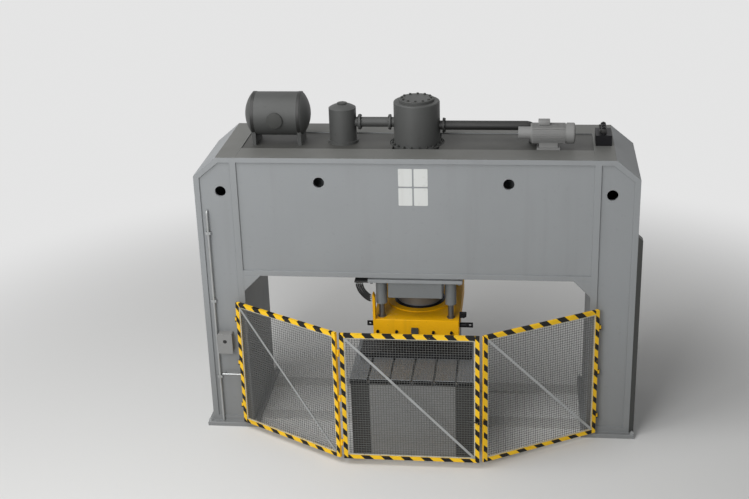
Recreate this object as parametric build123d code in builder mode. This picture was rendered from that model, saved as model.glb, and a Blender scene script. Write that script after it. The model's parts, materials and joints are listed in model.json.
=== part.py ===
from build123d import *
import os
from math import atan2, degrees, hypot, radians, tan

# Portal dishing press for dished ends, with a folding mesh guard in front.
# Millimetres. X runs along the portal, Y away from the operator, Z up from the floor.
# The ram's axis is X = 0, Y = 0, midway between the uprights and the two girders.

# Portal frame
clear_width = 5600.0      # between the uprights
upright_width = 700.0
portal_depth = 1850.0     # front face to rear face
portal_height = 4800.0    # floor to the top of the uprights and girders
top_chamfer_run = 380.0
top_chamfer_drop = 315.0
girder_depth = 490.0
skin = 50.0               # plate of the hollow uprights and girders
inner_edge = 100.0        # plate whose edge shows beside the opening
outer_edge = 90.0         # plate whose edge shows at the outer side
flange = 85.0             # girder flange plates
edge_proud = 25.0         # the plates' edges stand this far out of the panels
lift_hole = 175.0         # round holes for slinging the girders and uprights
lift_hole_x = 1490.0
lift_hole_drop = 415.0    # below the top of the girders
upright_hole_drop = 575.0
haunch_leg = 280.0
haunch_thick = 60.0
base_thick = 70.0
base_margin = 85.0
anchor_hole = 42.0
anchor_inset = 40.0       # from the edge of the base plate
tie_width = 300.0
tie_thick = 30.0
tie_offset = 600.0        # from the ram's axis, front and rear
deck_thick = 12.0
deck_drop = 15.0          # deck below the top of the girders

# Press cylinder
ram_dia = 750.0
ram_length = 1500.0
bore_gap = 10.0           # ram to bore, all round
barrel_dia = 850.0
bore_depth = 1150.0
barrel_drop = 20.0        # top of the barrel below the top of the girders
head_dia = 740.0
head_height = 690.0
cover_dia = 560.0
cover_height = 45.0
plate_width = 1525.0      # head plate under the girders
plate_thick = 95.0
plate_edge = 60.0         # height of its visible edge, below a shadow gap
plate_gap = 60.0          # depth of the shadow gap under the girders
plate_setback = 10.0      # behind the front face of the portal
block_width = 880.0
block_depth = 1790.0
block_height = 265.0
gland_dia = 840.0
gland_thick = 28.0
gland_gap = 1.0

# Crosshead
slide_width = 1410.0
slide_depth = 1720.0
slide_height = 265.0
punch_gap = 33.0          # punch above the lower die's lip, as shown
ram_out = 410.0           # bare ram between the cylinder block and the crosshead
hub_dia = 850.0
hub_height = 32.0
pad_dia = 1100.0          # raised round seat on top of the crosshead
pad_height = 14.0
seat_gap = 0.4            # clearance where round pieces sit in each other
rod_dia = 92.0
sleeve_dia = 180.0
sleeve_height = 420.0
rod_x = 565.0
rod_inset = 130.0         # from the front and rear edges of the crosshead
rod_engaged = 150.0       # rod inside its sleeve, as shown
sleeve_gap = 4.0
punch_dia = 700.0
punch_height = 125.0
punch_crown = 1320.0      # radius of the convex face
clamp_bar = (510.0, 60.0, 28.0)
clamp_bar_right = 350.0
clamp_bar_x = (-345.0, 455.0)
screw_dia = 50.0
screw_head = 36.0
screw_x = (-630.0, -320.0, 285.0, 580.0)
screw_height = 55.0       # above the crosshead's underside
sensor_size = (115.0, 40.0, 105.0)
sensor_x = -20.0
sensor_height = 25.0      # above the crosshead's underside
lock_dia = 84.0
lock_left = 815.0         # reach to the left of the ram's axis
lock_right = 926.0
lock_inset = 135.0        # behind the crosshead's front face
lock_height = 135.0       # above the crosshead's underside
lock_tang = 110.0
lock_tang_thick = 34.0
lock_eye = 40.0
cam_size = (115.0, 90.0, 140.0)
cam_plate = 16.0
cam_inset = 60.0
cam_lift = 100.0          # above the crosshead's top
cam_roller = 56.0
post_width = 42.0
post_depth = 130.0
post_height = 440.0
hose_dia = 30.0
hose_pitch = 32.0
hose_count = 4
hose_seat = 320.0         # lowest hose's end above the crosshead's top
hose_tab = (218.0, 150.0, 30.0)

# Bed and tooling
table_width = 2000.0      # of the wide front part
table_front = 1765.0      # its front end, ahead of the ram's axis
table_back = 330.0        # where it narrows, ahead of the ram's axis
tail_width = 1260.0       # narrow part of the table and bed, under the die
tail_back = 1180.0        # its rear end, behind the ram's axis
table_top = 1385.0
table_thick = 92.0
slot_count = 5
slot_pitch = 350.0
slot_width = 36.0
slot_neck = 32.0
slot_foot_width = 64.0
slot_foot_height = 28.0
bed_width = 1380.0        # of the wide front part
bed_setback = 15.0        # front and rear faces inside the table's ends
bed_wall = 50.0
bed_rib = 40.0
bed_rib_pitch = 573.0
bracket_thick = 40.0
bolster_width = 1840.0    # across its clamping wings
bolster_waist = 1220.0    # behind the wings
bolster_front = 1010.0    # ahead of the ram's axis
bolster_back = 760.0      # behind the ram's axis
wing_back = 430.0         # the wings end here, ahead of the ram's axis
bolster_thick = 90.0
bolster_corner = 50.0
die_foot_dia = 1060.0
die_foot = 34.0
die_dia = 960.0
die_height = 112.0
dish_dia = 840.0
dish_radius = 1400.0

# Hydraulics on the deck
tank_dia = 700.0
tank_length = 1060.0
tank_inset = 550.0        # middle of the tank from the left upright
tank_dome = 130.0
saddle_thick = 60.0
saddle_height = 120.0
drum_dia = 440.0
drum_height = 640.0
drum_x = -1200.0
drum_dome = 70.0
drum_foot = 40.0
suction_dia = 160.0
suction_height = 330.0    # above the deck
pressure_dia = 150.0
pressure_height = 280.0
pressure_inset = 900.0    # pipe's drop from the right upright
elbow_radius = 170.0
pipe_flange = 45.0        # a pipe's flange stands out this far all round
pipe_flange_thick = 30.0
motor_dia = 300.0
motor_length = 560.0
motor_inset = 710.0       # middle of the motor from the right upright
motor_y = -262.0
motor_height = 240.0
fan_cover_dia = 330.0
fan_cover_length = 130.0
motor_foot = (360.0, 260.0, 30.0)
pump_dia = 200.0
pump_length = 190.0
manifold_size = (250.0, 420.0, 170.0)
manifold_inset = 30.0
valve_dia = 70.0
valve_length = 110.0
valve_pitch = 130.0

# Fittings on the uprights
conduit_dia = 42.0
conduit_inset = 178.0     # from the outer side of the upright
conduit_standoff = 50.0   # pipe's axis in front of the panel
conduit_top = 3900.0
clamp_heights = (900.0, 2300.0, 3500.0)
clamp_size = (80.0, 44.0, 46.0)
box_size = (236.0, 150.0, 345.0)
box_inset = 368.0         # from the inner side of the upright
box_bottom = 1410.0
box_lid = 12.0
box_port = 64.0
rail_inset = 140.0        # from the inner side of the upright
rail_length = 330.0
rail_dia = 36.0
rail_height = 980.0
rail_standoff = 70.0
trunk_width = 75.0
trunk_depth = 140.0
trunk_top = 3560.0
trunk_slant = 70.0

# Folding guard
leaf_bottom = 114.0
leaf_height = 2226.0
tube_face = 66.0
tube_depth = 50.0
tube_wall = 4.0
hinge_gap = 30.0          # from a pin's axis to the stile beside it
outer_pin_inset = 160.0   # from the inner side of the upright
outer_pin_reach = 70.0    # in front of the portal
fold_pin_x = 1115.0
fold_pin_reach = 1145.0
hinge_heights = (400.0, 1200.0, 2000.0)
pin_dia = 20.0
pin_gap = 0.3
knuckle_dia = 38.0
knuckle_height = 58.0
knuckle_plate = 10.0
lug_thick = 16.0
strip_width = 20.0
strip_thick = 6.0
strip_front = 14.0        # front face of the strips, forward of the leaf's middle
mesh_thick = 6.0
mesh_wire = 8.0
mesh_columns = 11
mesh_rows = 10
brace_width = 40.0
brace_thick = 8.0
weep_hole = 12.0
latch_height = 860.0
latch_reach = 22.0        # bolt's axis in front of the stile
latch_dia = 20.0
latch_length = 222.0
latch_tip = 48.0          # past the middle leaf's stile
latch_knob = 30.0
ear_size = (20.0, 46.0, 60.0)
ear_inset = 16.0
keeper_gap = 2.2

# Derived positions
inner_x = clear_width / 2
outer_x = inner_x + upright_width
front_y = -portal_depth / 2
deck_top = portal_height - deck_drop
bed_top = table_top - table_thick
bolster_top = table_top + bolster_thick
slide_bottom = bolster_top + die_height + punch_gap + punch_height
slide_top = slide_bottom + slide_height
block_bottom = slide_top + ram_out
plate_bottom = block_bottom + block_height
underside = plate_bottom + plate_thick
slide_front = -slide_depth / 2
slide_side = slide_width / 2
rod_y = slide_depth / 2 - rod_inset
sleeve_bottom = plate_bottom - sleeve_height
bed_front = table_front - bed_setback
bed_back = tail_back - bed_setback
panel_front = front_y + edge_proud
conduit_x = outer_x - conduit_inset
box_x = inner_x + box_inset
tank_x = tank_inset - inner_x
pressure_end = inner_x - pressure_inset
motor_x = inner_x - motor_inset
rail_x = (-inner_x - rail_inset - rail_length, -inner_x - rail_inset)
outer_pin_x = inner_x + outer_pin_inset
base_in = inner_x - base_margin
base_out = outer_x + base_margin
well = portal_depth / 2 - girder_depth
os.makedirs("parts", exist_ok=True)


def finish(piece, name):
    """Labels a finished piece and writes its file."""
    piece.part.label = name
    export_step(piece.part, f"parts/{name}.step")


def bend_radii(points):
    """Radius at each corner of a route, as large as the two runs beside it allow."""
    radii = []
    for before, corner, after in zip(points, points[1:], points[2:]):
        run_in, run_out = Vector(*corner) - Vector(*before), Vector(*after) - Vector(*corner)
        turn = radians(run_in.get_angle(run_out))
        radii.append(0.45 * min(run_in.length, run_out.length) / tan(turn / 2))
    return radii


# Uprights: hollow welded boxes whose side plates stand proud of the panels
with BuildPart() as left_upright:
    with BuildSketch(Plane.XZ):
        with BuildLine():
            Polyline(
                (-outer_x, base_thick),
                (-inner_x, base_thick),
                (-inner_x, portal_height),
                (-outer_x + top_chamfer_run, portal_height),
                (-outer_x, portal_height - top_chamfer_drop),
                close=True,
            )
        make_face()
    extrude(amount=portal_depth / 2, both=True)
    with BuildSketch(Plane.XZ) as panel_sketch:
        with BuildLine():
            Polyline(
                (-outer_x + outer_edge, base_thick + flange),
                (-inner_x - inner_edge, base_thick + flange),
                (-inner_x - inner_edge, portal_height - flange),
                (-outer_x + top_chamfer_run + 0.4 * outer_edge, portal_height - flange),
                (-outer_x + outer_edge, portal_height - top_chamfer_drop - 0.4 * flange),
                close=True,
            )
        make_face()
    extrude(amount=portal_depth / 2 - edge_proud - skin, both=True, mode=Mode.SUBTRACT)
    panel = panel_sketch.sketch
    for side in (-1, 1):
        outline = panel.moved(Location((0, side * portal_depth / 2, 0)))
        extrude(outline, amount=side * edge_proud, dir=(0, -1, 0), mode=Mode.SUBTRACT)
    with BuildSketch(Plane.XZ):
        with Locations((-outer_x + upright_width * 0.6, portal_height - upright_hole_drop)):
            Circle(lift_hole / 2)
    extrude(amount=portal_depth / 2, both=True, mode=Mode.SUBTRACT)
    with BuildSketch(Plane.XY.offset(base_thick)):
        with Locations((-inner_x - upright_width / 2, 0)):
            Rectangle(upright_width - inner_edge - outer_edge, portal_depth - 4 * skin)
    extrude(amount=flange, mode=Mode.SUBTRACT)
finish(left_upright, "left_upright")

with BuildPart() as right_upright:
    add(mirror(left_upright.part, about=Plane.YZ))
finish(right_upright, "right_upright")

# Base plates with four anchor holes each
with BuildPart() as base_plates:
    with BuildSketch():
        with Locations((-(base_in + base_out) / 2, 0)):
            Rectangle(base_out - base_in, portal_depth + 2 * base_margin)
            with GridLocations(
                base_out - base_in - 2 * anchor_inset,
                portal_depth + 2 * base_margin - 2 * anchor_inset,
                2, 2,
            ):
                Circle(anchor_hole / 2, mode=Mode.SUBTRACT)
    extrude(amount=base_thick)
    chamfer(base_plates.faces().sort_by(Axis.Z)[-1].outer_wire().edges(), 8)
    mirror(about=Plane.YZ)
finish(base_plates, "base_plates")

# Flat ties on the floor between the base plates, through notches in the bed
with BuildPart() as floor_ties:
    with BuildSketch():
        with GridLocations(0, 2 * tie_offset, 1, 2):
            Rectangle(2 * base_in, tie_width)
    extrude(amount=tie_thick)
finish(floor_ties, "floor_ties")

# Girders: box sections between the uprights, with proud flange edges outside
with BuildPart() as front_girder:
    with BuildSketch(Plane.YZ):
        girder_mid = (front_y + girder_depth / 2, (portal_height + underside) / 2)
        girder_high = portal_height - underside
        with Locations(girder_mid):
            Rectangle(girder_depth, girder_high)
        with Locations((girder_mid[0] + edge_proud / 2, girder_mid[1])):
            Rectangle(girder_depth - edge_proud - 2 * skin, girder_high - 2 * flange, mode=Mode.SUBTRACT)
        with Locations((front_y + edge_proud / 2, girder_mid[1])):
            Rectangle(edge_proud, girder_high - 2 * flange, mode=Mode.SUBTRACT)
    extrude(amount=inner_x, both=True)
    with BuildSketch(Plane.XZ):
        with Locations((-lift_hole_x, portal_height - lift_hole_drop),
                       (lift_hole_x, portal_height - lift_hole_drop)):
            Circle(lift_hole / 2)
    extrude(amount=portal_depth / 2, mode=Mode.SUBTRACT)
finish(front_girder, "front_girder")

with BuildPart() as rear_girder:
    add(mirror(front_girder.part, about=Plane.XZ))
finish(rear_girder, "rear_girder")

# Haunch plates in the four corners under the girders
with BuildPart() as haunches:
    with BuildSketch(Plane.XZ.offset(-front_y)):
        with BuildLine():
            Polyline(
                (-inner_x, underside),
                (-inner_x + haunch_leg, underside),
                (-inner_x, underside - haunch_leg),
                close=True,
            )
        make_face()
    extrude(amount=-haunch_thick)
    mirror(about=Plane.YZ)
    mirror(about=Plane.XZ)
finish(haunches, "haunches")

# Deck plates between the girders, cut round the press cylinder
with BuildPart() as deck_plates:
    with BuildSketch(Plane.XY.offset(deck_top)):
        Rectangle(clear_width, 2 * well)
        Rectangle(head_dia, 2 * well, mode=Mode.SUBTRACT)
        Circle(barrel_dia / 2 + bore_gap, mode=Mode.SUBTRACT)
    extrude(amount=-deck_thick)
finish(deck_plates, "deck_plates")

# Head plate bolted under both girders, with the tab that holds the hoses
with BuildPart() as head_plate:
    with BuildSketch(Plane.XY.offset(plate_bottom)):
        Rectangle(plate_width, portal_depth - 2 * plate_setback)
        Circle(ram_dia / 2 + bore_gap, mode=Mode.SUBTRACT)
    extrude(amount=plate_thick)
    with BuildSketch(Plane.XY.offset(plate_bottom + plate_edge)):
        Rectangle(plate_width, portal_depth)
        Rectangle(plate_width - 2 * plate_gap, portal_depth - 2 * plate_gap, mode=Mode.SUBTRACT)
    extrude(amount=plate_thick - plate_edge, mode=Mode.SUBTRACT)
    with BuildSketch(Plane.XY.offset(plate_bottom)):
        with Locations((-plate_width / 2 - hose_tab[0] / 2, front_y + plate_setback + hose_tab[1] / 2)):
            Rectangle(hose_tab[0], hose_tab[1])
    extrude(amount=hose_tab[2])
finish(head_plate, "head_plate")

# Cylinder block, its gland ring, the barrel between the girders and the head on top
with BuildPart() as cylinder_block:
    with BuildSketch(Plane.XY.offset(block_bottom)):
        Rectangle(block_width, block_depth)
        Circle(ram_dia / 2 + bore_gap, mode=Mode.SUBTRACT)
    extrude(amount=block_height)
    chamfer(cylinder_block.edges().filter_by(Axis.Z).group_by(lambda e: round(abs(e.center().X)))[-1], 14)
finish(cylinder_block, "cylinder_block")

with BuildPart() as gland_ring:
    with BuildSketch(Plane.XY.offset(block_bottom)):
        Circle(gland_dia / 2)
        Circle(ram_dia / 2 + gland_gap, mode=Mode.SUBTRACT)
    extrude(amount=-gland_thick)
    chamfer(gland_ring.faces().sort_by(Axis.Z)[0].outer_wire().edges(), 6)
finish(gland_ring, "gland_ring")

with BuildPart() as main_cylinder:
    with BuildSketch(Plane.XY.offset(underside)):
        Circle(barrel_dia / 2)
    extrude(amount=portal_height - barrel_drop - underside)
    with BuildSketch(Plane.XY.offset(underside)):
        Circle(ram_dia / 2 + bore_gap)
    extrude(amount=bore_depth, mode=Mode.SUBTRACT)
finish(main_cylinder, "main_cylinder")

with BuildPart() as cylinder_head:
    with BuildSketch(Plane.XY.offset(portal_height - barrel_drop)):
        Circle(head_dia / 2)
    extrude(amount=head_height)
    fillet(cylinder_head.faces().sort_by(Axis.Z)[-1].edges(), 24)
    with BuildSketch(cylinder_head.faces().sort_by(Axis.Z)[-1]):
        Circle(cover_dia / 2)
    extrude(amount=cover_height)
    chamfer(cylinder_head.faces().sort_by(Axis.Z)[-1].edges(), 8)
finish(cylinder_head, "cylinder_head")

# Ram and the ring that keeps it on the crosshead
with BuildPart() as ram:
    with BuildSketch(Plane.XY.offset(slide_top)):
        Circle(ram_dia / 2)
    extrude(amount=ram_length)
    chamfer(ram.faces().sort_by(Axis.Z)[-1].edges(), 15)
finish(ram, "ram")

with BuildPart() as hub_ring:
    with BuildSketch(Plane.XY.offset(slide_top)):
        Circle(hub_dia / 2)
        Circle(ram_dia / 2 + seat_gap, mode=Mode.SUBTRACT)
    extrude(amount=hub_height)
    chamfer(hub_ring.faces().sort_by(Axis.Z)[-1].outer_wire().edges(), 12)
finish(hub_ring, "hub_ring")

# Crosshead with the cross bore for the lock bar
with BuildPart() as crosshead:
    with BuildSketch(Plane.XY.offset(slide_bottom)):
        Rectangle(slide_width, slide_depth)
    extrude(amount=slide_height)
    chamfer(crosshead.edges().filter_by(Axis.Z), 12)
    chamfer(crosshead.faces().sort_by(Axis.Z)[-1].edges(), 8)
    with BuildSketch(Plane.XY.offset(slide_top)):
        Circle(pad_dia / 2)
        Circle(hub_dia / 2 + seat_gap, mode=Mode.SUBTRACT)
    extrude(amount=pad_height)
    chamfer(crosshead.faces().sort_by(Axis.Z)[-1].outer_wire().edges(), 6)
    with BuildSketch(Plane.YZ):
        with Locations((slide_front + lock_inset, slide_bottom + lock_height)):
            Circle(lock_dia / 2 + seat_gap)
    extrude(amount=slide_side, both=True, mode=Mode.SUBTRACT)
finish(crosshead, "crosshead")

# Return cylinders: sleeves under the head plate, rods standing on the crosshead
with BuildPart() as return_cylinders:
    with BuildSketch(Plane.XY.offset(plate_bottom)):
        with GridLocations(2 * rod_x, 2 * rod_y, 2, 2):
            Circle(sleeve_dia / 2)
    extrude(amount=-sleeve_height)
    with BuildSketch(Plane.XY.offset(sleeve_bottom)):
        with GridLocations(2 * rod_x, 2 * rod_y, 2, 2):
            Circle(rod_dia / 2 + sleeve_gap)
    extrude(amount=sleeve_height - 18, mode=Mode.SUBTRACT)
    chamfer(return_cylinders.faces().group_by(Axis.Z)[0].edges(), 3)
finish(return_cylinders, "return_cylinders")

with BuildPart() as return_rods:
    with BuildSketch(Plane.XY.offset(slide_top)):
        with GridLocations(2 * rod_x, 2 * rod_y, 2, 2):
            Circle(rod_dia / 2)
    extrude(amount=sleeve_bottom + rod_engaged - slide_top)
    with BuildSketch(Plane.XY.offset(slide_top)):
        with GridLocations(2 * rod_x, 2 * rod_y, 2, 2):
            RegularPolygon(rod_dia * 0.72, 6)
    extrude(amount=24)
finish(return_rods, "return_rods")

# Convex punch under the crosshead
with BuildPart() as punch:
    with BuildSketch(Plane.XZ):
        with BuildLine():
            rim = punch_dia / 2 - 20
            sag = punch_crown - (punch_crown**2 - rim**2) ** 0.5
            tip = slide_bottom - punch_height
            Polyline((0, tip), (0, slide_bottom), (punch_dia / 2, slide_bottom),
                     (punch_dia / 2, tip + sag + 25), (rim, tip + sag))
            RadiusArc((rim, tip + sag), (0, tip), punch_crown)
        make_face()
    revolve(axis=Axis.Z)
finish(punch, "punch")

# Tool clamp bars, screws and sensor along the crosshead's front edge
with BuildPart() as tool_clamp_bars:
    with BuildSketch(Plane.XY.offset(slide_bottom)):
        with Locations((clamp_bar_x[0], slide_front + clamp_bar[1] / 2 + 6)):
            Rectangle(clamp_bar[0], clamp_bar[1])
        with Locations((clamp_bar_x[1], slide_front + clamp_bar[1] / 2 + 6)):
            Rectangle(clamp_bar_right, clamp_bar[1])
    extrude(amount=-clamp_bar[2])
    chamfer(tool_clamp_bars.faces().group_by(Axis.Z)[0].edges(), 4)
finish(tool_clamp_bars, "tool_clamp_bars")

with BuildPart() as clamp_screws:
    with BuildSketch(Plane.XZ.offset(-slide_front)):
        with Locations(*[(x, slide_bottom + screw_height) for x in screw_x]):
            Circle(screw_dia / 2)
    extrude(amount=screw_head)
    with BuildSketch(Plane.XZ.offset(-slide_front + screw_head)):
        with Locations(*[(x, slide_bottom + screw_height) for x in screw_x]):
            RegularPolygon(screw_dia * 0.22, 6)
    extrude(amount=-screw_head * 0.5, mode=Mode.SUBTRACT)
finish(clamp_screws, "clamp_screws")

with BuildPart() as sensor_box:
    with BuildSketch(Plane.XZ.offset(-slide_front)):
        with Locations((sensor_x, slide_bottom + sensor_height + sensor_size[2] / 2)):
            RectangleRounded(sensor_size[0], sensor_size[2], 10)
    extrude(amount=sensor_size[1])
finish(sensor_box, "sensor_box")

# Lock bar through the crosshead, with an eye at each end
with BuildPart() as lock_bar:
    lock_y = slide_front + lock_inset
    lock_z = slide_bottom + lock_height
    with BuildSketch(Plane.YZ.offset(-lock_left)):
        with Locations((lock_y, lock_z)):
            Circle(lock_dia / 2)
    extrude(amount=lock_left + lock_right)
    for end, way in ((-lock_left, 1), (lock_right, -1)):
        with BuildSketch(Plane.YZ.offset(end)):
            for up in (-1, 1):
                with Locations((lock_y + up * (lock_tang_thick / 2 + lock_dia / 2), lock_z)):
                    Rectangle(lock_dia, lock_dia * 1.2)
        extrude(amount=way * lock_tang, mode=Mode.SUBTRACT)
        with BuildSketch(Plane.XZ.offset(-lock_y)):
            with Locations((end + way * lock_tang * 0.42, lock_z)):
                Circle(lock_eye / 2)
        extrude(amount=lock_dia, both=True, mode=Mode.SUBTRACT)
finish(lock_bar, "lock_bar")

# Limit-switch cam on the right side of the crosshead
with BuildPart() as cam_bracket:
    cam_y = slide_front + cam_inset
    with BuildSketch(Plane.XZ.offset(-cam_y)):
        with BuildLine():
            Polyline(
                (slide_side, slide_top + cam_lift - cam_size[2]),
                (slide_side + cam_plate, slide_top + cam_lift - cam_size[2]),
                (slide_side + cam_plate, slide_top + cam_lift - cam_size[2] * 0.55),
                (slide_side + cam_size[0], slide_top + cam_lift - cam_size[2] * 0.4),
                (slide_side + cam_size[0], slide_top + cam_lift),
                (slide_side, slide_top + cam_lift),
                close=True,
            )
        make_face()
    extrude(amount=-cam_size[1])
    with BuildSketch(Plane.XZ.offset(-cam_y)):
        with Locations((slide_side + cam_size[0] * 0.62, slide_top + cam_lift - cam_size[2] * 0.28)):
            Circle(cam_roller / 2)
    extrude(amount=16)
finish(cam_bracket, "cam_bracket")

# Post on the crosshead's left front corner, where the hoses end
with BuildPart() as hose_post:
    with BuildSketch(Plane.XZ.offset(-slide_front)):
        with BuildLine():
            Polyline(
                (-slide_side, slide_top),
                (-slide_side + post_width, slide_top),
                (-slide_side + post_width, slide_top + post_height * 0.86),
                (-slide_side + post_width * 0.4, slide_top + post_height),
                (-slide_side, slide_top + post_height),
                close=True,
            )
        make_face()
    extrude(amount=-post_depth)
finish(hose_post, "hose_post")

# Flexible hoses side by side, from the head plate's tab to the post
with BuildPart() as hose_bundle:
    hose_y = front_y + plate_setback + hose_tab[1] / 2
    hose_start = -plate_width / 2 - hose_tab[0] + 18
    hose_end = slide_top + hose_seat
    for row in range(hose_count):
        shift = row * hose_pitch
        points = [
            (hose_start + shift, plate_bottom),
            (hose_start + shift, plate_bottom - 150 + 0.35 * shift),
            (-slide_side - 75 + 0.42 * shift, hose_end + shift),
            (-slide_side, hose_end + shift),
        ]
        radii = bend_radii(points)
        with BuildLine(Plane.XZ.offset(-hose_y)):
            FilletPolyline(*points, radius=radii)
        with BuildSketch(Plane((points[0][0], hose_y, plate_bottom), z_dir=(0, 0, -1))):
            Circle(hose_dia / 2)
        sweep()
finish(hose_bundle, "hose_bundle")

# Bed: a box on the floor, open below and narrower under the die, with notches for the ties
with BuildPart() as bed_frame:
    with BuildSketch() as bed_outline:
        with Locations((0, -(bed_front + table_back) / 2)):
            Rectangle(bed_width, bed_front - table_back)
        with Locations((0, (bed_back - table_back) / 2)):
            Rectangle(tail_width, bed_back + table_back)
    extrude(amount=bed_top)
    with BuildSketch():
        offset(bed_outline.sketch, amount=-bed_wall)
    extrude(amount=bed_top - bed_wall, mode=Mode.SUBTRACT)
    with BuildSketch():
        with GridLocations(0, 2 * tie_offset, 1, 2):
            Rectangle(bed_width, tie_width)
    extrude(amount=tie_thick, mode=Mode.SUBTRACT)
finish(bed_frame, "bed_frame")

# Ribs across the inside of the bed, one under the ram's axis, cut clear of the ties
with BuildPart() as bed_ribs:
    with BuildSketch():
        with Locations((0, -2 * bed_rib_pitch), (0, -bed_rib_pitch)):
            Rectangle(bed_width - 2 * bed_wall, bed_rib)
        with Locations((0, 0), (0, bed_rib_pitch)):
            Rectangle(tail_width - 2 * bed_wall, bed_rib)
    extrude(amount=bed_top - bed_wall)
    with BuildSketch():
        with GridLocations(0, 2 * tie_offset, 1, 2):
            Rectangle(bed_width, tie_width)
    extrude(amount=tie_thick, mode=Mode.SUBTRACT)
finish(bed_ribs, "bed_ribs")

# Bracket plates from the table's overhanging sides to the floor, in line with the front wall and two ribs
with BuildPart() as table_brackets:
    overhang = table_width / 2 - bed_setback - bed_width / 2
    with BuildSketch():
        for y in (bracket_thick / 2 - bed_front, -2 * bed_rib_pitch, -bed_rib_pitch):
            with Locations((0, y)):
                with GridLocations(bed_width + overhang, 0, 2, 1):
                    Rectangle(overhang, bracket_thick)
    extrude(amount=bed_top)
    with BuildSketch():
        with GridLocations(0, 2 * tie_offset, 1, 2):
            Rectangle(table_width, tie_width)
    extrude(amount=tie_thick, mode=Mode.SUBTRACT)
finish(table_brackets, "table_brackets")

# Table of two plates with T-slots running front to rear, narrower under the die
with BuildPart() as t_slot_table:
    with BuildSketch(Plane.XY.offset(bed_top)):
        with Locations((0, -(table_front + table_back) / 2)):
            Rectangle(table_width, table_front - table_back)
        with Locations((0, (tail_back - table_back + seat_gap) / 2)):
            Rectangle(tail_width, tail_back + table_back - seat_gap)
    extrude(amount=table_thick)
    chamfer(t_slot_table.faces().group_by(Axis.Z)[-1].edges(), 5)
    with BuildSketch(Plane.XZ):
        with Locations(*[((i - (slot_count - 1) / 2) * slot_pitch, table_top) for i in range(slot_count)]):
            Rectangle(slot_width, slot_neck + slot_foot_height, align=(Align.CENTER, Align.MAX))
        foot_z = table_top - slot_neck
        with Locations(*[((i - (slot_count - 1) / 2) * slot_pitch, foot_z) for i in range(slot_count)]):
            Rectangle(slot_foot_width, slot_foot_height, align=(Align.CENTER, Align.MAX))
    extrude(amount=table_front, both=True, mode=Mode.SUBTRACT)
finish(t_slot_table, "t_slot_table")

# Die bolster with clamping wings at its front, and the dished lower die
with BuildPart() as die_bolster:
    with BuildSketch(Plane.XY.offset(table_top)) as bolster_outline:
        with Locations((0, -(bolster_front + wing_back) / 2)):
            Rectangle(bolster_width, bolster_front - wing_back)
        with Locations((0, (bolster_back - wing_back) / 2)):
            Rectangle(bolster_waist, bolster_back + wing_back)
        chamfer(bolster_outline.vertices(), bolster_corner)
    extrude(amount=bolster_thick)
    chamfer(die_bolster.faces().sort_by(Axis.Z)[-1].edges(), 6)
finish(die_bolster, "die_bolster")

with BuildPart() as lower_die:
    with BuildSketch(Plane.XZ):
        with BuildLine():
            lip = dish_dia / 2
            depth = dish_radius - (dish_radius**2 - lip**2) ** 0.5
            top = bolster_top + die_height
            Polyline((0, top - depth), (0, bolster_top), (die_foot_dia / 2, bolster_top),
                     (die_foot_dia / 2, bolster_top + die_foot), (die_dia / 2, bolster_top + die_foot),
                     (die_dia / 2, top), (lip, top))
            RadiusArc((lip, top), (0, top - depth), dish_radius)
        make_face()
    revolve(axis=Axis.Z)
finish(lower_die, "lower_die")

# Oil tank lying on two saddles at the left of the deck
tank_z = deck_top + saddle_height + tank_dia / 2
with BuildPart() as oil_tank:
    with BuildSketch(Plane.XZ):
        with BuildLine():
            half = tank_length / 2
            r = tank_dia / 2
            crown = (r**2 + tank_dome**2) / (2 * tank_dome)
            Line((tank_x - half, tank_z), (tank_x + half, tank_z))
            RadiusArc((tank_x + half, tank_z), (tank_x + half - tank_dome, tank_z + r), -crown)
            Line((tank_x + half - tank_dome, tank_z + r), (tank_x - half + tank_dome, tank_z + r))
            RadiusArc((tank_x - half + tank_dome, tank_z + r), (tank_x - half, tank_z), -crown)
        make_face()
    revolve(axis=Axis((tank_x, 0, tank_z), (1, 0, 0)))
    fillet(oil_tank.edges().filter_by(GeomType.CIRCLE), tank_dome * 0.6)
    with BuildSketch(Plane.YZ.offset(tank_x)):
        with Locations((0, deck_top)):
            Rectangle(tank_dia * 0.72, saddle_height + r * 0.45, align=(Align.CENTER, Align.MIN))
    saddle = extrude(amount=saddle_thick / 2, both=True, mode=Mode.PRIVATE)
    with GridLocations(tank_length - 2 * tank_dome - saddle_thick, 0, 2, 1):
        add(saddle)
finish(oil_tank, "oil_tank")

# Upright surge drum with a domed top
with BuildPart() as surge_drum:
    with BuildSketch(Plane.XZ):
        with BuildLine():
            r = drum_dia / 2
            Polyline((drum_x, deck_top + drum_height), (drum_x, deck_top),
                     (drum_x + r + 25, deck_top), (drum_x + r + 25, deck_top + drum_foot),
                     (drum_x + r, deck_top + drum_foot), (drum_x + r, deck_top + drum_height - drum_dome))
            crown = (r**2 + drum_dome**2) / (2 * drum_dome)
            RadiusArc((drum_x + r, deck_top + drum_height - drum_dome),
                      (drum_x, deck_top + drum_height), -crown)
        make_face()
    revolve(axis=Axis((drum_x, 0, 0), (0, 0, 1)))
finish(surge_drum, "surge_drum")

# Suction pipe from the drum to the cylinder head, with its flanges
with BuildPart() as suction_pipe:
    pipe_z = deck_top + suction_height
    with BuildSketch(Plane.YZ.offset(drum_x)):
        with Locations((0, pipe_z)):
            Circle(suction_dia / 2)
    extrude(amount=-drum_x)
    for at in (drum_x + drum_dia / 2 + pipe_flange, -head_dia / 2 - pipe_flange - pipe_flange_thick):
        with BuildSketch(Plane.YZ.offset(at)):
            with Locations((0, pipe_z)):
                Circle(suction_dia / 2 + pipe_flange)
        extrude(amount=pipe_flange_thick)
    with BuildSketch(Plane.XY.offset(deck_top)):
        Circle(head_dia / 2 + seat_gap)
        with Locations((drum_x, 0)):
            Circle(drum_dia / 2 + seat_gap)
    extrude(amount=drum_height - drum_dome, mode=Mode.SUBTRACT)
finish(suction_pipe, "suction_pipe")

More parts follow.
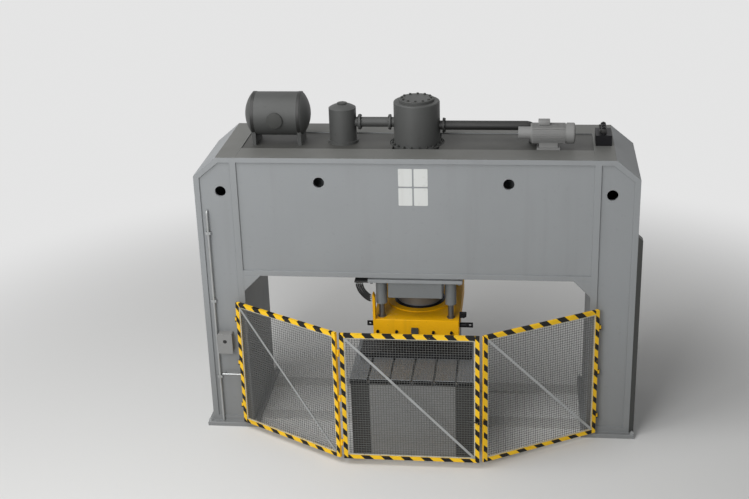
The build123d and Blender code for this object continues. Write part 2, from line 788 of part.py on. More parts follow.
# Pressure pipe from the cylinder head along the deck and down through it
with BuildPart() as pressure_pipe:
    pipe_z = deck_top + pressure_height
    with BuildLine(Plane.XZ):
        Line((head_dia / 2 - 60, pipe_z), (pressure_end - elbow_radius, pipe_z))
        RadiusArc((pressure_end - elbow_radius, pipe_z), (pressure_end, pipe_z - elbow_radius), elbow_radius)
        Line((pressure_end, pipe_z - elbow_radius), (pressure_end, deck_top))
    with BuildSketch(Plane.YZ.offset(head_dia / 2 - 60)):
        with Locations((0, pipe_z)):
            Circle(pressure_dia / 2)
    sweep()
    with BuildSketch(Plane.YZ.offset(head_dia / 2 + pipe_flange)):
        with Locations((0, pipe_z)):
            Circle(pressure_dia / 2 + pipe_flange)
    extrude(amount=pipe_flange_thick)
    with BuildSketch(Plane.XY.offset(deck_top)):
        with Locations((pressure_end, 0)):
            Circle(pressure_dia / 2 + pipe_flange)
    extrude(amount=pipe_flange_thick)
    with BuildSketch(Plane.XY.offset(deck_top)):
        Circle(head_dia / 2 + seat_gap)
    extrude(amount=head_height - deck_thick, mode=Mode.SUBTRACT)
finish(pressure_pipe, "pressure_pipe")

# Pump and its motor on a foot
with BuildPart() as pump_motor:
    motor_z = deck_top + motor_height
    with BuildSketch(Plane.YZ.offset(motor_x - motor_length / 2)):
        with Locations((motor_y, motor_z)):
            Circle(motor_dia / 2)
    extrude(amount=motor_length)
    with BuildSketch(Plane.YZ.offset(motor_x + motor_length / 2)):
        with Locations((motor_y, motor_z)):
            Circle(fan_cover_dia / 2)
    extrude(amount=fan_cover_length)
    fillet(pump_motor.faces().sort_by(Axis.X)[-1].edges(), 30)
    with BuildSketch(Plane.YZ.offset(motor_x - motor_length / 2)):
        with Locations((motor_y, motor_z)):
            Circle(pump_dia / 2)
    extrude(amount=-pump_length)
    with BuildSketch(Plane.XY.offset(deck_top)):
        with Locations((motor_x, motor_y)):
            Rectangle(motor_foot[0], motor_foot[1])
    extrude(amount=motor_foot[2])
    with BuildSketch(Plane.XY.offset(deck_top)):
        with Locations((motor_x, motor_y)):
            Rectangle(motor_foot[0] * 0.8, motor_foot[1] * 0.7)
    extrude(amount=motor_height - motor_dia * 0.2)
finish(pump_motor, "pump_motor")

# Valve manifold on top of the right upright
with BuildPart() as valve_manifold:
    manifold_x = inner_x + manifold_inset + manifold_size[0] / 2
    with BuildSketch(Plane.XY.offset(portal_height)):
        with Locations((manifold_x, 0)):
            Rectangle(manifold_size[0], manifold_size[1])
    extrude(amount=manifold_size[2])
    chamfer(valve_manifold.edges().filter_by(Axis.Z), 8)
    with BuildSketch(Plane.XY.offset(portal_height + manifold_size[2])):
        with Locations((manifold_x, 0)):
            with GridLocations(0, valve_pitch, 1, 3):
                Circle(valve_dia / 2)
    extrude(amount=valve_length)
finish(valve_manifold, "valve_manifold")

# Conduit down the left upright, bent into the panel at its top, with saddle clamps
with BuildPart() as conduit:
    pipe_y = panel_front - conduit_standoff
    bend = conduit_standoff - 3
    with BuildLine(Plane.YZ.offset(-conduit_x)):
        Line((pipe_y, base_thick), (pipe_y, conduit_top - bend))
        RadiusArc((pipe_y, conduit_top - bend), (pipe_y + bend, conduit_top), bend)
        Line((pipe_y + bend, conduit_top), (panel_front, conduit_top))
    with BuildSketch(Plane.XY.offset(base_thick)):
        with Locations((-conduit_x, pipe_y)):
            Circle(conduit_dia / 2)
    sweep()
    for z in clamp_heights:
        with BuildSketch(Plane.XY.offset(z)):
            with Locations((-conduit_x, panel_front)):
                Rectangle(clamp_size[0], clamp_size[1] + conduit_dia / 2, align=(Align.CENTER, Align.MAX))
        extrude(amount=clamp_size[2])
finish(conduit, "conduit")

# Junction box with a lid and a round port
with BuildPart() as junction_box:
    box_mid = box_bottom + box_size[2] / 2
    with BuildSketch(Plane.XZ.offset(-panel_front)):
        with Locations((-box_x, box_mid)):
            RectangleRounded(box_size[0], box_size[2], 12)
    extrude(amount=box_size[1] - box_lid)
    with BuildSketch(Plane.XZ.offset(-panel_front + box_size[1] - box_lid)):
        with Locations((-box_x, box_mid)):
            RectangleRounded(box_size[0] + 10, box_size[2] + 10, 14)
    extrude(amount=box_lid)
    with BuildSketch(Plane.XZ.offset(-panel_front + box_size[1])):
        with Locations((-box_x, box_mid + box_size[2] * 0.12)):
            Circle(box_port / 2)
    extrude(amount=-box_size[1] * 0.5, mode=Mode.SUBTRACT)
finish(junction_box, "junction_box")

# Round rail on two standoffs low on the left upright
with BuildPart() as hook_rail:
    with BuildSketch(Plane.YZ.offset(rail_x[0])):
        with Locations((panel_front - rail_standoff, rail_height)):
            Circle(rail_dia / 2)
    extrude(amount=rail_x[1] - rail_x[0])
    with BuildSketch(Plane.XZ.offset(-panel_front)):
        with Locations((rail_x[0] + 40, rail_height), (rail_x[1] - 40, rail_height)):
            Circle(rail_dia * 0.36)
    extrude(amount=rail_standoff)
finish(hook_rail, "hook_rail")

# Cable trunk up the outside of the right upright
with BuildPart() as cable_trunk:
    with BuildSketch(Plane.XZ.offset(-front_y)):
        with BuildLine():
            Polyline(
                (outer_x, base_thick),
                (outer_x + trunk_width, base_thick),
                (outer_x + trunk_width, trunk_top - trunk_slant),
                (outer_x, trunk_top),
                close=True,
            )
        make_face()
    extrude(amount=-trunk_depth)
finish(cable_trunk, "cable_trunk")


# Folding guard: three leaves, a pin axis at each end of every leaf
outer_pin_y = front_y - outer_pin_reach
fold_pin_y = front_y - fold_pin_reach
side_span = hypot(outer_pin_x - fold_pin_x, outer_pin_y - fold_pin_y)
side_angle = degrees(atan2(outer_pin_y - fold_pin_y, outer_pin_x - fold_pin_x))
leaf_mid_z = leaf_bottom + leaf_height / 2
knuckle_low = tuple(z - knuckle_height - 1 for z in hinge_heights)
knuckle_high = tuple(z + 1 for z in hinge_heights)


def leaf_plane(x, y, angle):
    """Plane standing on a leaf's left pin axis: x along the leaf, y up, z to the operator."""
    along = Vector(1, 0, 0).rotate(Axis.Z, angle)
    return Plane((x, y, 0), x_dir=along, z_dir=along.cross(Vector(0, 0, 1)))


def leaf_stiles(plane, span, left_heights=(), right_heights=()):
    """The two upright tubes of a leaf, capped, with the hinge knuckles between them and the pins."""
    spread = span - 2 * hinge_gap - tube_face
    floor = Plane(plane.origin, x_dir=plane.x_dir, z_dir=(0, 0, 1))
    with BuildPart() as stiles:
        with BuildSketch(floor.offset(leaf_bottom)):
            with Locations((span / 2, 0)):
                with GridLocations(spread, 0, 2, 1):
                    Rectangle(tube_face, tube_depth)
        extrude(amount=leaf_height)
        with BuildSketch(floor.offset(leaf_bottom + tube_wall)):
            with Locations((span / 2, 0)):
                with GridLocations(spread, 0, 2, 1):
                    Rectangle(tube_face - 2 * tube_wall, tube_depth - 2 * tube_wall)
        extrude(amount=leaf_height - 2 * tube_wall, mode=Mode.SUBTRACT)
        for at, heights, way in ((0, left_heights, 1), (span, right_heights, -1)):
            for z in heights:
                with BuildSketch(floor.offset(z)):
                    with Locations((at, 0)):
                        Circle(knuckle_dia / 2)
                    with Locations((at + way * hinge_gap / 2, 0)):
                        Rectangle(hinge_gap, knuckle_plate)
                    with Locations((at, 0)):
                        Circle(pin_dia / 2 + pin_gap, mode=Mode.SUBTRACT)
                extrude(amount=knuckle_height)
    return stiles


def leaf_rails(plane, span):
    """The top and bottom tubes of a leaf, between its stiles, with drain holes underneath."""
    width = span - 2 * hinge_gap - 2 * tube_face
    floor = Plane(plane.origin, x_dir=plane.x_dir, z_dir=(0, 0, 1))
    with BuildPart() as rails:
        with BuildSketch(plane):
            with Locations((span / 2, leaf_mid_z)):
                with GridLocations(0, leaf_height - tube_face, 1, 2):
                    Rectangle(width, tube_face)
        extrude(amount=tube_depth / 2, both=True)
        with BuildSketch(plane):
            with Locations((span / 2, leaf_mid_z)):
                with GridLocations(0, leaf_height - tube_face, 1, 2):
                    Rectangle(width, tube_face - 2 * tube_wall)
        extrude(amount=tube_depth / 2 - tube_wall, both=True, mode=Mode.SUBTRACT)
        with BuildSketch(floor.offset(leaf_bottom)):
            with Locations((span * 0.3, 0), (span * 0.7, 0)):
                Circle(weep_hole / 2)
        extrude(amount=tube_wall, mode=Mode.SUBTRACT)
    return rails


def leaf_strips(plane, span):
    """Flat strips round the inside of the frame that clamp the mesh."""
    width = span - 2 * hinge_gap - 2 * tube_face
    height = leaf_height - 2 * tube_face
    with BuildPart() as strips:
        with BuildSketch(plane.offset(strip_front)):
            with Locations((span / 2, leaf_mid_z)):
                Rectangle(width, height)
                Rectangle(width - 2 * strip_width, height - 2 * strip_width, mode=Mode.SUBTRACT)
        extrude(amount=-strip_thick)
    return strips


def leaf_mesh(plane, span):
    """Wire mesh behind the strips, with coarser wires than the real ones."""
    width = span - 2 * hinge_gap - 2 * tube_face
    height = leaf_height - 2 * tube_face
    pitch_x = (width - mesh_wire) / mesh_columns
    pitch_z = (height - mesh_wire) / mesh_rows
    with BuildPart() as mesh:
        with BuildSketch(plane.offset(strip_front - strip_thick)):
            with Locations((span / 2, leaf_mid_z)):
                Rectangle(width, height)
                with GridLocations(pitch_x, pitch_z, mesh_columns, mesh_rows):
                    Rectangle(pitch_x - mesh_wire, pitch_z - mesh_wire, mode=Mode.SUBTRACT)
        extrude(amount=-mesh_thick)
    return mesh


def leaf_brace(plane, span):
    """Diagonal flat bar from the top left corner to the bottom right one."""
    width = span - 2 * hinge_gap - 2 * tube_face
    height = leaf_height - 2 * tube_face
    with BuildPart() as brace:
        with BuildSketch(plane.offset(strip_front)):
            with Locations((span / 2, leaf_mid_z)):
                Rectangle(hypot(width, height), brace_width, rotation=-degrees(atan2(height, width)))
                Rectangle(width, height, mode=Mode.INTERSECT)
        extrude(amount=brace_thick)
    return brace


left_plane = leaf_plane(-outer_pin_x, outer_pin_y, -side_angle)
middle_plane = leaf_plane(-fold_pin_x, fold_pin_y, 0)
right_plane = leaf_plane(fold_pin_x, fold_pin_y, side_angle)

finish(leaf_stiles(left_plane, side_span, knuckle_high, knuckle_low), "left_leaf_stiles")
for name, plane, span in (
    ("left", left_plane, side_span),
    ("middle", middle_plane, 2 * fold_pin_x),
    ("right", right_plane, side_span),
):
    finish(leaf_rails(plane, span), f"{name}_leaf_rails")
    finish(leaf_strips(plane, span), f"{name}_leaf_strips")
    finish(leaf_mesh(plane, span), f"{name}_leaf_mesh")
    finish(leaf_brace(plane, span), f"{name}_leaf_brace")

# Middle leaf: two guide ears for the latch bolt on its right stile
latch_y = fold_pin_y - tube_depth / 2 - latch_reach
stile_x = fold_pin_x - hinge_gap
with BuildPart() as middle_leaf_stiles:
    add(leaf_stiles(middle_plane, 2 * fold_pin_x, knuckle_high, ()).part)
    with BuildSketch(Plane.XZ.offset(-fold_pin_y + tube_depth / 2)):
        with Locations((stile_x - ear_inset, latch_height), (stile_x - tube_face + ear_inset, latch_height)):
            Rectangle(ear_size[0], ear_size[2])
    extrude(amount=ear_size[1])
    with BuildSketch(Plane.YZ.offset(stile_x)):
        with Locations((latch_y, latch_height)):
            Circle(latch_dia / 2 + pin_gap)
    extrude(amount=-tube_face, mode=Mode.SUBTRACT)
finish(middle_leaf_stiles, "middle_leaf_stiles")

# Right leaf: a keeper plate that the latch bolt slides into
with BuildPart() as right_leaf_stiles:
    add(leaf_stiles(right_plane, side_span, (), knuckle_high).part)
    with BuildSketch(Plane.XY.offset(latch_height - ear_size[2] / 2)):
        stile_corner = right_plane.from_local_coords((hinge_gap, 0, tube_depth / 2))
        stile_inside = right_plane.from_local_coords((hinge_gap + tube_face / 2, 0, tube_depth / 2 - tube_wall / 2))
        with BuildLine():
            Polyline(
                (fold_pin_x + hinge_gap, latch_y - ear_size[1] / 2),
                (fold_pin_x + hinge_gap + ear_size[0], latch_y - ear_size[1] / 2),
                (stile_inside.X, stile_inside.Y),
                (stile_corner.X, stile_corner.Y),
                (fold_pin_x + hinge_gap, stile_corner.Y),
                close=True,
            )
        make_face()
    extrude(amount=ear_size[2])
    with BuildSketch(Plane.YZ.offset(fold_pin_x)):
        with Locations((latch_y, latch_height)):
            Rectangle(latch_dia + 2 * keeper_gap, latch_dia + 2 * keeper_gap)
    extrude(amount=hinge_gap + 3 * ear_size[0], mode=Mode.SUBTRACT)
finish(right_leaf_stiles, "right_leaf_stiles")

# Latch bolt with a knob, drawn back as shown
with BuildPart() as latch_bolt:
    with BuildSketch(Plane.YZ.offset(stile_x + latch_tip)):
        with Locations((latch_y, latch_height)):
            Circle(latch_dia / 2)
    extrude(amount=-latch_length)
    chamfer(latch_bolt.faces().sort_by(Axis.X)[-1].edges(), 3)
    knob_x = stile_x + latch_tip - latch_length + latch_dia / 2
    with BuildSketch(Plane.XZ.offset(-latch_y)):
        with Locations((knob_x, latch_height)):
            Circle(latch_dia * 0.35)
    extrude(amount=latch_knob + 14)
    with BuildSketch(Plane.XZ.offset(-latch_y + latch_knob)):
        with Locations((knob_x, latch_height)):
            Circle(latch_knob / 2)
    extrude(amount=latch_knob * 0.7)
    fillet(latch_bolt.faces().sort_by(Axis.Y)[0].edges(), 5)
finish(latch_bolt, "latch_bolt")

# Pins that join the left and middle leaves
with BuildPart() as fold_pins:
    for z in hinge_heights:
        with BuildSketch(Plane.XY.offset(z - knuckle_height - 1)):
            with Locations((-fold_pin_x, fold_pin_y)):
                Circle(pin_dia / 2)
        extrude(amount=2 * knuckle_height + 3)
        with BuildSketch(Plane.XY.offset(z + knuckle_height + 2)):
            with Locations((-fold_pin_x, fold_pin_y)):
                Circle(knuckle_dia * 0.4)
        extrude(amount=8)
finish(fold_pins, "fold_pins")

# Lugs with gudgeon pins on the front panel of each upright
with BuildPart() as hinge_lugs:
    for z in hinge_heights:
        with BuildSketch(Plane.XY.offset(z)):
            with Locations((-outer_pin_x, outer_pin_y)):
                Circle(knuckle_dia / 2 + 4)
            with Locations((-outer_pin_x, panel_front)):
                Rectangle(inner_edge * 0.6, 12, align=(Align.CENTER, Align.MAX))
            make_hull()
        extrude(amount=-lug_thick)
        with BuildSketch(Plane.XY.offset(z)):
            with Locations((-outer_pin_x, outer_pin_y)):
                Circle(pin_dia / 2)
        extrude(amount=knuckle_height + 12)
    mirror(about=Plane.YZ)
finish(hinge_lugs, "hinge_lugs")
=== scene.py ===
# %% [markdown]
# # A portal dishing press, dressed for the studio
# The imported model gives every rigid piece, in metres, with X along the portal, Y away from the operator
# and Z up from the floor. This lesson lights it, gives each piece a procedural finish, and models what is
# too fine for the solids: wire mesh, hoses, bolts, cooling fins and bare plates.

# %% Load the frame
import bpy, bmesh, json
from math import atan2, cos, hypot, pi, radians, sin
from mathutils import Matrix, Vector


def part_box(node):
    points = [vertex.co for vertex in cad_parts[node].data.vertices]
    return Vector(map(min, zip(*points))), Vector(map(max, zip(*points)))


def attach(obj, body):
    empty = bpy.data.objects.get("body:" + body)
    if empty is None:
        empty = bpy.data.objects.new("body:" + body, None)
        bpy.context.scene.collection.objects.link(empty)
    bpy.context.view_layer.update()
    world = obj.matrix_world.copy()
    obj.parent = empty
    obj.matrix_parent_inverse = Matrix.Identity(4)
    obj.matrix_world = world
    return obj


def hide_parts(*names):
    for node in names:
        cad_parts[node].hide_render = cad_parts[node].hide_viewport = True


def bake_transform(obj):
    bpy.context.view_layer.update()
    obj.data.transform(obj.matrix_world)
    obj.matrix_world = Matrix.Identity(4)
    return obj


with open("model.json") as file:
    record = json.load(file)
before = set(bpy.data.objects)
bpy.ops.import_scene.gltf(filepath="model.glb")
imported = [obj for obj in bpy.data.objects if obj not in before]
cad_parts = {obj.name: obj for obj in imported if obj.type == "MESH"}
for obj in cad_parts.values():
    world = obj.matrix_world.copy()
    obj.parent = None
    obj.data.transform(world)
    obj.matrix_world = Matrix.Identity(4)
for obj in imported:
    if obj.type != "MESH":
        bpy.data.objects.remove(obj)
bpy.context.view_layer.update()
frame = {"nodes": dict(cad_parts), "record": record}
print("nodes:", len(frame["nodes"]))

# %% [markdown]
# ## Two small helpers
# Almost every step ends in the same two moves: a bmesh, which is a mesh under construction, is written into
# mesh data and freed, and an object is made for some data and linked to the scene.

# %% Helpers for new objects
def mesh_from(shape, name):
    """Writes a finished bmesh into new mesh data."""
    mesh = bpy.data.meshes.new(name)
    shape.to_mesh(mesh)
    shape.free()
    return mesh


def object_for(data, name):
    """Makes an object for a mesh, lamp or camera and links it to the scene."""
    made = bpy.data.objects.new(name, data)
    bpy.context.scene.collection.objects.link(made)
    return made


# %% [markdown]
# ## Camera
# The picture was taken from a gallery: a long lens that looks down by 22 degrees, turned a little to the
# left and rolled by two degrees. Aiming at a point can't give a roll, so two plain vectors, forward and
# right, give the camera's three axes instead.

# %% Camera
tilt, yaw, roll = radians(22.47), radians(-7.24), radians(-1.86)
camera_place = (1.783, -19.948, 11.207)
picture_width, focal_length = 749, 1300    # both in pixels
sensor_width = 36                          # millimetres

forward = Vector((cos(tilt) * sin(yaw), cos(tilt) * cos(yaw), -sin(tilt)))
right = Vector((cos(yaw), -sin(yaw), 0))
up = right.cross(forward)
rolled_right = cos(roll) * right + sin(roll) * up
rolled_up = -sin(roll) * right + cos(roll) * up
lens_data = bpy.data.cameras.new("gallery_camera")
lens_data.sensor_width = sensor_width
lens_data.lens = focal_length / picture_width * sensor_width
lens_data.clip_end = 200
camera = object_for(lens_data, "gallery_camera")
turn = Matrix((rolled_right, rolled_up, -forward)).transposed()
camera.matrix_world = Matrix.Translation(camera_place) @ turn.to_4x4()
bpy.context.scene.camera = camera
print("lens", round(lens_data.lens, 1), "mm")

# %% [markdown]
# ## Floor and light
# A hall lights a machine from above with many lamps, so its shadows are soft. Two large area lamps to the
# left and an even sky do the same, and leave the inner side of the left upright in the shade. What the camera
# sees behind the machine is a pale colour that adds no light.

# %% Floor and lamps
def stage_plane(name, half_width, height):
    """A square plane that isn't part of the object."""
    shape = bmesh.new()
    bmesh.ops.create_grid(shape, x_segments=1, y_segments=1, size=half_width)
    bmesh.ops.translate(shape, verts=shape.verts, vec=(0, 0, height))
    plane = object_for(mesh_from(shape, name), name)
    return plane


def area_lamp(name, place, aim, size, power):
    """A square lamp that faces the point it aims at."""
    lamp_data = bpy.data.lights.new(name, "AREA")
    lamp_data.shape, lamp_data.size, lamp_data.size_y = "RECTANGLE", size, size
    lamp_data.energy = power
    lamp = object_for(lamp_data, name)
    lamp.location = place
    lamp.rotation_euler = (Vector(aim) - Vector(place)).to_track_quat("-Z", "Y").to_euler()


floor = stage_plane("floor", half_width=60, height=-0.001)
area_lamp("roof_lamp", place=(-7, -5, 15), aim=(0, -0.5, 2), size=9, power=1150)
area_lamp("gallery_lamp", place=(-6, -17, 11), aim=(0, 0, 3.5), size=8, power=1650)
bpy.context.scene.view_settings.view_transform = "Standard"

# %% Pale sky
ambient, pale = 0.22, 0.78
sight_rays = ("Is Camera Ray", "Is Glossy Ray", "Is Transmission Ray")


def pale_sky(light, seen):
    """Light from all round at one level, and a pale colour where the camera or a mirror sees the sky."""
    world = bpy.data.worlds.new("pale_hall")
    world.use_nodes = True
    tree = world.node_tree
    tree.nodes.clear()
    rays = tree.nodes.new("ShaderNodeLightPath")
    looking = rays.outputs[sight_rays[0]]
    for kind in sight_rays[1:]:
        either = tree.nodes.new("ShaderNodeMath")
        either.operation = "MAXIMUM"
        tree.links.new(looking, either.inputs[0])
        tree.links.new(rays.outputs[kind], either.inputs[1])
        looking = either.outputs[0]
    mixed = tree.nodes.new("ShaderNodeMixShader")
    tree.links.new(looking, mixed.inputs[0])
    for slot, level in ((1, light), (2, seen)):
        sky = tree.nodes.new("ShaderNodeBackground")
        sky.inputs["Color"].default_value = (level, level, level, 1)
        tree.links.new(sky.outputs[0], mixed.inputs[slot])
    output = tree.nodes.new("ShaderNodeOutputWorld")
    tree.links.new(mixed.outputs[0], output.inputs[0])
    bpy.context.scene.world = world


pale_sky(ambient, pale)

# %% [markdown]
# ## Shader maths
# A pattern is easier to read as an expression than as a web of nodes. `Number` wraps one socket and makes
# each operator add its Math node. `Finish` owns a material and adds every other node through one method.

# %% A number in a shader
class Number:
    """A value in a node tree that can be used in ordinary arithmetic."""

    def __init__(self, tree, socket):
        self.tree, self.socket = tree, socket

    def maths(self, operation, *values):
        step = self.tree.nodes.new("ShaderNodeMath")
        step.operation = operation
        for socket, value in zip(step.inputs, values):
            if isinstance(value, Number):
                self.tree.links.new(value.socket, socket)
            else:
                socket.default_value = value
        return Number(self.tree, step.outputs[0])

    def __add__(self, other):
        return self.maths("ADD", self, other)

    def __radd__(self, other):
        return self.maths("ADD", other, self)

    def __sub__(self, other):
        return self.maths("SUBTRACT", self, other)

    def __rsub__(self, other):
        return self.maths("SUBTRACT", other, self)

    def __mul__(self, other):
        return self.maths("MULTIPLY", self, other)

    def __rmul__(self, other):
        return self.maths("MULTIPLY", other, self)

    def __truediv__(self, other):
        return self.maths("DIVIDE", self, other)

    def __rtruediv__(self, other):
        return self.maths("DIVIDE", other, self)

    def __gt__(self, other):
        return self.maths("GREATER_THAN", self, other)

    def __lt__(self, other):
        return self.maths("LESS_THAN", self, other)

    def part(self):
        """What is left after the whole number, so that a pattern repeats every 1."""
        return self.maths("FRACT", self)

    def either(self, other):
        return self.maths("MAXIMUM", self, other)

    def both(self, other):
        return self.maths("MINIMUM", self, other)


# %% A finish under construction
def linear(colour):
    """A colour read off a screen, 0 to 255, as the linear numbers that shaders use."""
    parts = [c / 255 for c in colour]
    return tuple(c / 12.92 if c <= 0.04045 else ((c + 0.055) / 1.055) ** 2.4 for c in parts) + (1.0,)


class Finish:
    """A material with its Principled shader, and the nodes that feed it."""

    def __init__(self, name):
        self.material = bpy.data.materials.new(name)
        self.material.use_nodes = True
        self.tree = self.material.node_tree
        self.shader = self.tree.nodes["Principled BSDF"]
        self.place = self.node("ShaderNodeTexCoord")["Object"]

    def node(self, kind, settings={}, **inputs):
        """Adds a node: its settings first, then values or links for its sockets. Returns its outputs.

        A socket goes by its name, or by i and its number, such as i0, where names repeat.
        """
        new = self.tree.nodes.new(kind)
        for key, value in settings.items():
            setattr(new, key, value)
        for key, value in inputs.items():
            numbered = key[0] == "i" and key[1:].isdigit()
            self.feed(new.inputs[int(key[1:]) if numbered else key], value)
        return new.outputs

    def feed(self, socket, value):
        if isinstance(value, Number):
            self.tree.links.new(value.socket, socket)
        elif isinstance(value, bpy.types.NodeSocket):
            self.tree.links.new(value, socket)
        else:
            socket.default_value = value

    def set(self, name, value):
        self.feed(self.shader.inputs[name], value)

    def number(self, socket):
        return Number(self.tree, socket)

    def noise(self, scale, detail=3.0, stretch=None):
        """Noise on Object coordinates, finer along an axis with a larger stretch."""
        where = self.place
        if stretch:
            where = self.node("ShaderNodeMapping", Vector=self.place, Scale=stretch)["Vector"]
        return self.number(self.node("ShaderNodeTexNoise", Vector=where, Scale=scale, Detail=detail)["Fac"])

    def band(self, value, low, high):
        """Rises smoothly from 0 at low to 1 at high."""
        smooth = {"interpolation_type": "SMOOTHSTEP"}
        return self.number(self.node("ShaderNodeMapRange", smooth, i0=value, i1=low, i2=high)[0])

    def mix(self, mask, below, above):
        return self.node("ShaderNodeMix", {"data_type": "RGBA"}, i0=mask, i6=below, i7=above)[2]

    def bump(self, height, distance):
        self.set("Normal", self.node("ShaderNodeBump", Height=height, Distance=distance)["Normal"])

    def axes(self):
        split = self.node("ShaderNodeSeparateXYZ", Vector=self.place)
        return [self.number(split[i]) for i in range(3)]


def dress(finish, *pieces):
    """Gives the finish to CAD nodes, by name, or to new pieces."""
    for piece in pieces:
        if isinstance(piece, str):
            piece = frame["nodes"][piece]
        piece.data.materials.clear()
        piece.data.materials.append(finish.material)


# %% [markdown]
# ## Plain floor
# The floor keeps the machine's shadow near it. Farther out it turns into the sky's own pale colour for the
# rays that a camera or a mirror sends, so the picture has no horizon; light that bounces still meets paint.

# %% Pale floor
blend_start, blend_end = 16.0, 170.0    # squared distances from a point one metre in front of the ram
floor_paint = Finish("pale_floor")
floor_paint.set("Base Color", (pale, pale, 0.77, 1))
floor_paint.set("Roughness", 0.8)
rays = floor_paint.node("ShaderNodeLightPath")
seen = floor_paint.number(rays[sight_rays[0]])
for kind in sight_rays[1:]:
    seen = seen.either(floor_paint.number(rays[kind]))
x, y, z = floor_paint.axes()
far = floor_paint.band(x * x + (y + 1.0) * (y + 1.0), blend_start, blend_end)
plain = floor_paint.node("ShaderNodeEmission", Color=(pale, pale, pale, 1))[0]
painted_floor = floor_paint.shader.outputs[0]
blended = floor_paint.node("ShaderNodeMixShader", i0=seen * far, i1=painted_floor, i2=plain)[0]
floor_paint.tree.links.new(blended, floor_paint.tree.nodes["Material Output"].inputs["Surface"])
dress(floor_paint, floor)

# %% [markdown]
# ## Paint on welded plate
# Workshop paint is never one colour. A slow noise shifts it, a stretched noise makes faint runs, painted
# shade darkens it towards the floor, where the hall's light falls off, and a fine noise in the normal gives
# the roller's texture. One recipe serves every colour, so the pieces look as if one shop had painted them.

# %% Painted plate
def painted(name, colour, grime, roughness=0.5, wear=0.25, streaks=0.35, floor_shade=0.0, texture=0.0006,
            shine=0.5):
    """Paint with grime in specks (wear) and in runs (streaks), and painted shade towards the floor
    (floor_shade).
    """
    paint = Finish(name)
    slow = paint.band(paint.noise(0.7, detail=4), 0.35, 0.7)
    runs = paint.band(paint.noise(1.0, detail=4, stretch=(5.0, 5.0, 0.35)), 0.5, 0.75)
    specks = paint.band(paint.noise(14.0, detail=6), 0.62, 0.74)
    # painted shade: the paint darkens towards the floor, where the hall's light falls off
    low_shade = 1 - paint.band(paint.axes()[2], 0.1, 3.2)
    shade = paint.mix(slow * 0.16, linear(colour), linear([c * 0.86 for c in colour]))
    dirt_and_shade = (runs * streaks + specks * wear + low_shade * floor_shade).both(0.8)
    paint.set("Base Color", paint.mix(dirt_and_shade * 0.7, shade, linear(grime)))
    paint.set("Roughness", roughness + slow * 0.12)
    paint.set("Specular IOR Level", shine)
    paint.bump(paint.noise(60.0, detail=2), texture)
    return paint


def repaint(finish, mask, colour):
    """Lays a second colour over the part of a finish where mask is 1."""
    under = finish.shader.inputs["Base Color"].links[0].from_socket
    finish.set("Base Color", finish.mix(mask, under, linear(colour)))


# %% [markdown]
# ## The paints
# Each colour was read off the picture. Dust lies on the flat tops of the portal, and the tab that carries
# the hoses is black, so a second colour is laid over those faces, which the frame's own sizes find.

# %% Paints
portal_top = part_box("left_upright")[1].z
plate_side = 0.7625
# the frame's paint gets painted shade towards the floor
frame_grey = painted("frame_grey", (145, 148, 150), (112, 112, 110), wear=0.15, streaks=0.14, floor_shade=0.65)
dust = 0.8 + frame_grey.noise(3.0) * 0.2
repaint(frame_grey, (frame_grey.axes()[2] > portal_top - 0.003) * dust, (98, 98, 94))
plate_grey = painted("plate_grey", (145, 148, 150), (112, 112, 110), wear=0.15, streaks=0.14)
repaint(plate_grey, plate_grey.axes()[0] < -plate_side - 0.001, (34, 34, 34))
top_grey = painted("top_grey", (66, 66, 63), (50, 49, 46), wear=0.5)
bed_grey = painted("bed_grey", (144, 145, 144), (116, 115, 112), wear=0.3, streaks=0.2)
dark_grey = painted("dark_grey", (54, 55, 53), (36, 35, 33), wear=0.4)
tank_grey = painted("tank_grey", (72, 73, 72), (46, 45, 43), wear=0.4, streaks=0.3)
motor_grey = painted("motor_grey", (138, 138, 137), (98, 96, 93), wear=0.3)
block_grey = painted("block_grey", (118, 121, 122), (84, 84, 82), wear=0.3, streaks=0.2)
floor_grey = painted("floor_grey", (206, 206, 204), (180, 179, 176), roughness=0.8, wear=0.1, streaks=0.1)
pipe_black = painted("pipe_black", (34, 34, 33), (58, 55, 50), roughness=0.45)
slide_yellow = painted("slide_yellow", (238, 176, 4), (140, 98, 10), roughness=0.45, wear=0.4, streaks=0.25,
                       shine=0.2)
print("paints made")

# %% [markdown]
# ## Bare and coated metal
# Chrome, milled steel and blued steel differ in colour, roughness and in the marks that the tool left: lines
# round the axis on turned pieces, and long strokes on milled ones. A stretched noise makes both, by its
# stretch alone. Oil darkens parts of each.

# %% Metals
def metal(name, colour, roughness, grain, grain_depth=0.00008, stains=0.4, stain=(40, 36, 30), metallic=1.0):
    """Metal with tool marks, which grain stretches, under a film that stains it."""
    steel = Finish(name)
    marks = steel.noise(1.0, detail=3, stretch=grain)
    film = steel.band(steel.noise(3.0, detail=5), 0.5, 0.72)
    steel.set("Base Color", steel.mix(film * stains, linear(colour), linear(stain)))
    steel.set("Metallic", metallic)
    steel.set("Roughness", roughness + marks * 0.14 + film * 0.1)
    steel.bump(marks, grain_depth)
    return steel


fine_rings, rings, strokes = (3, 3, 160), (2, 2, 140), (90, 2, 90)
chrome = metal("hard_chrome", (126, 128, 131), 0.28, fine_rings, 0.00001, stains=0.3, metallic=0.35)
satin = metal("satin_steel", (112, 113, 114), 0.42, fine_rings, 0.00002, stains=0.3)
turned = metal("turned_steel", (172, 172, 170), 0.3, rings, stains=0.4)
blued = metal("blued_steel", (44, 44, 46), 0.42, (30, 30, 30), stains=0.5, stain=(26, 22, 18))
zinc = metal("zinc_plate", (176, 178, 178), 0.42, (40, 40, 8), stains=0.3, stain=(120, 118, 114))
milled = metal("milled_steel", (146, 149, 152), 0.5, strokes, stains=0.3, stain=(92, 93, 94))
table_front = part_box("t_slot_table")[0].y
repaint(milled, milled.axes()[1] < table_front + 0.0005, (34, 35, 35))
print("metals made")

# %% [markdown]
# ## Hazard tape on the guard
# The tube frames are yellow, with black bands across their front and top faces. On each leaf, a coordinate
# along the leaf and the height together give a diagonal pattern; a third, square to the leaf, tells the
# front face from the sides. All three come from Object coordinates, so the bands stay put when a leaf swings.

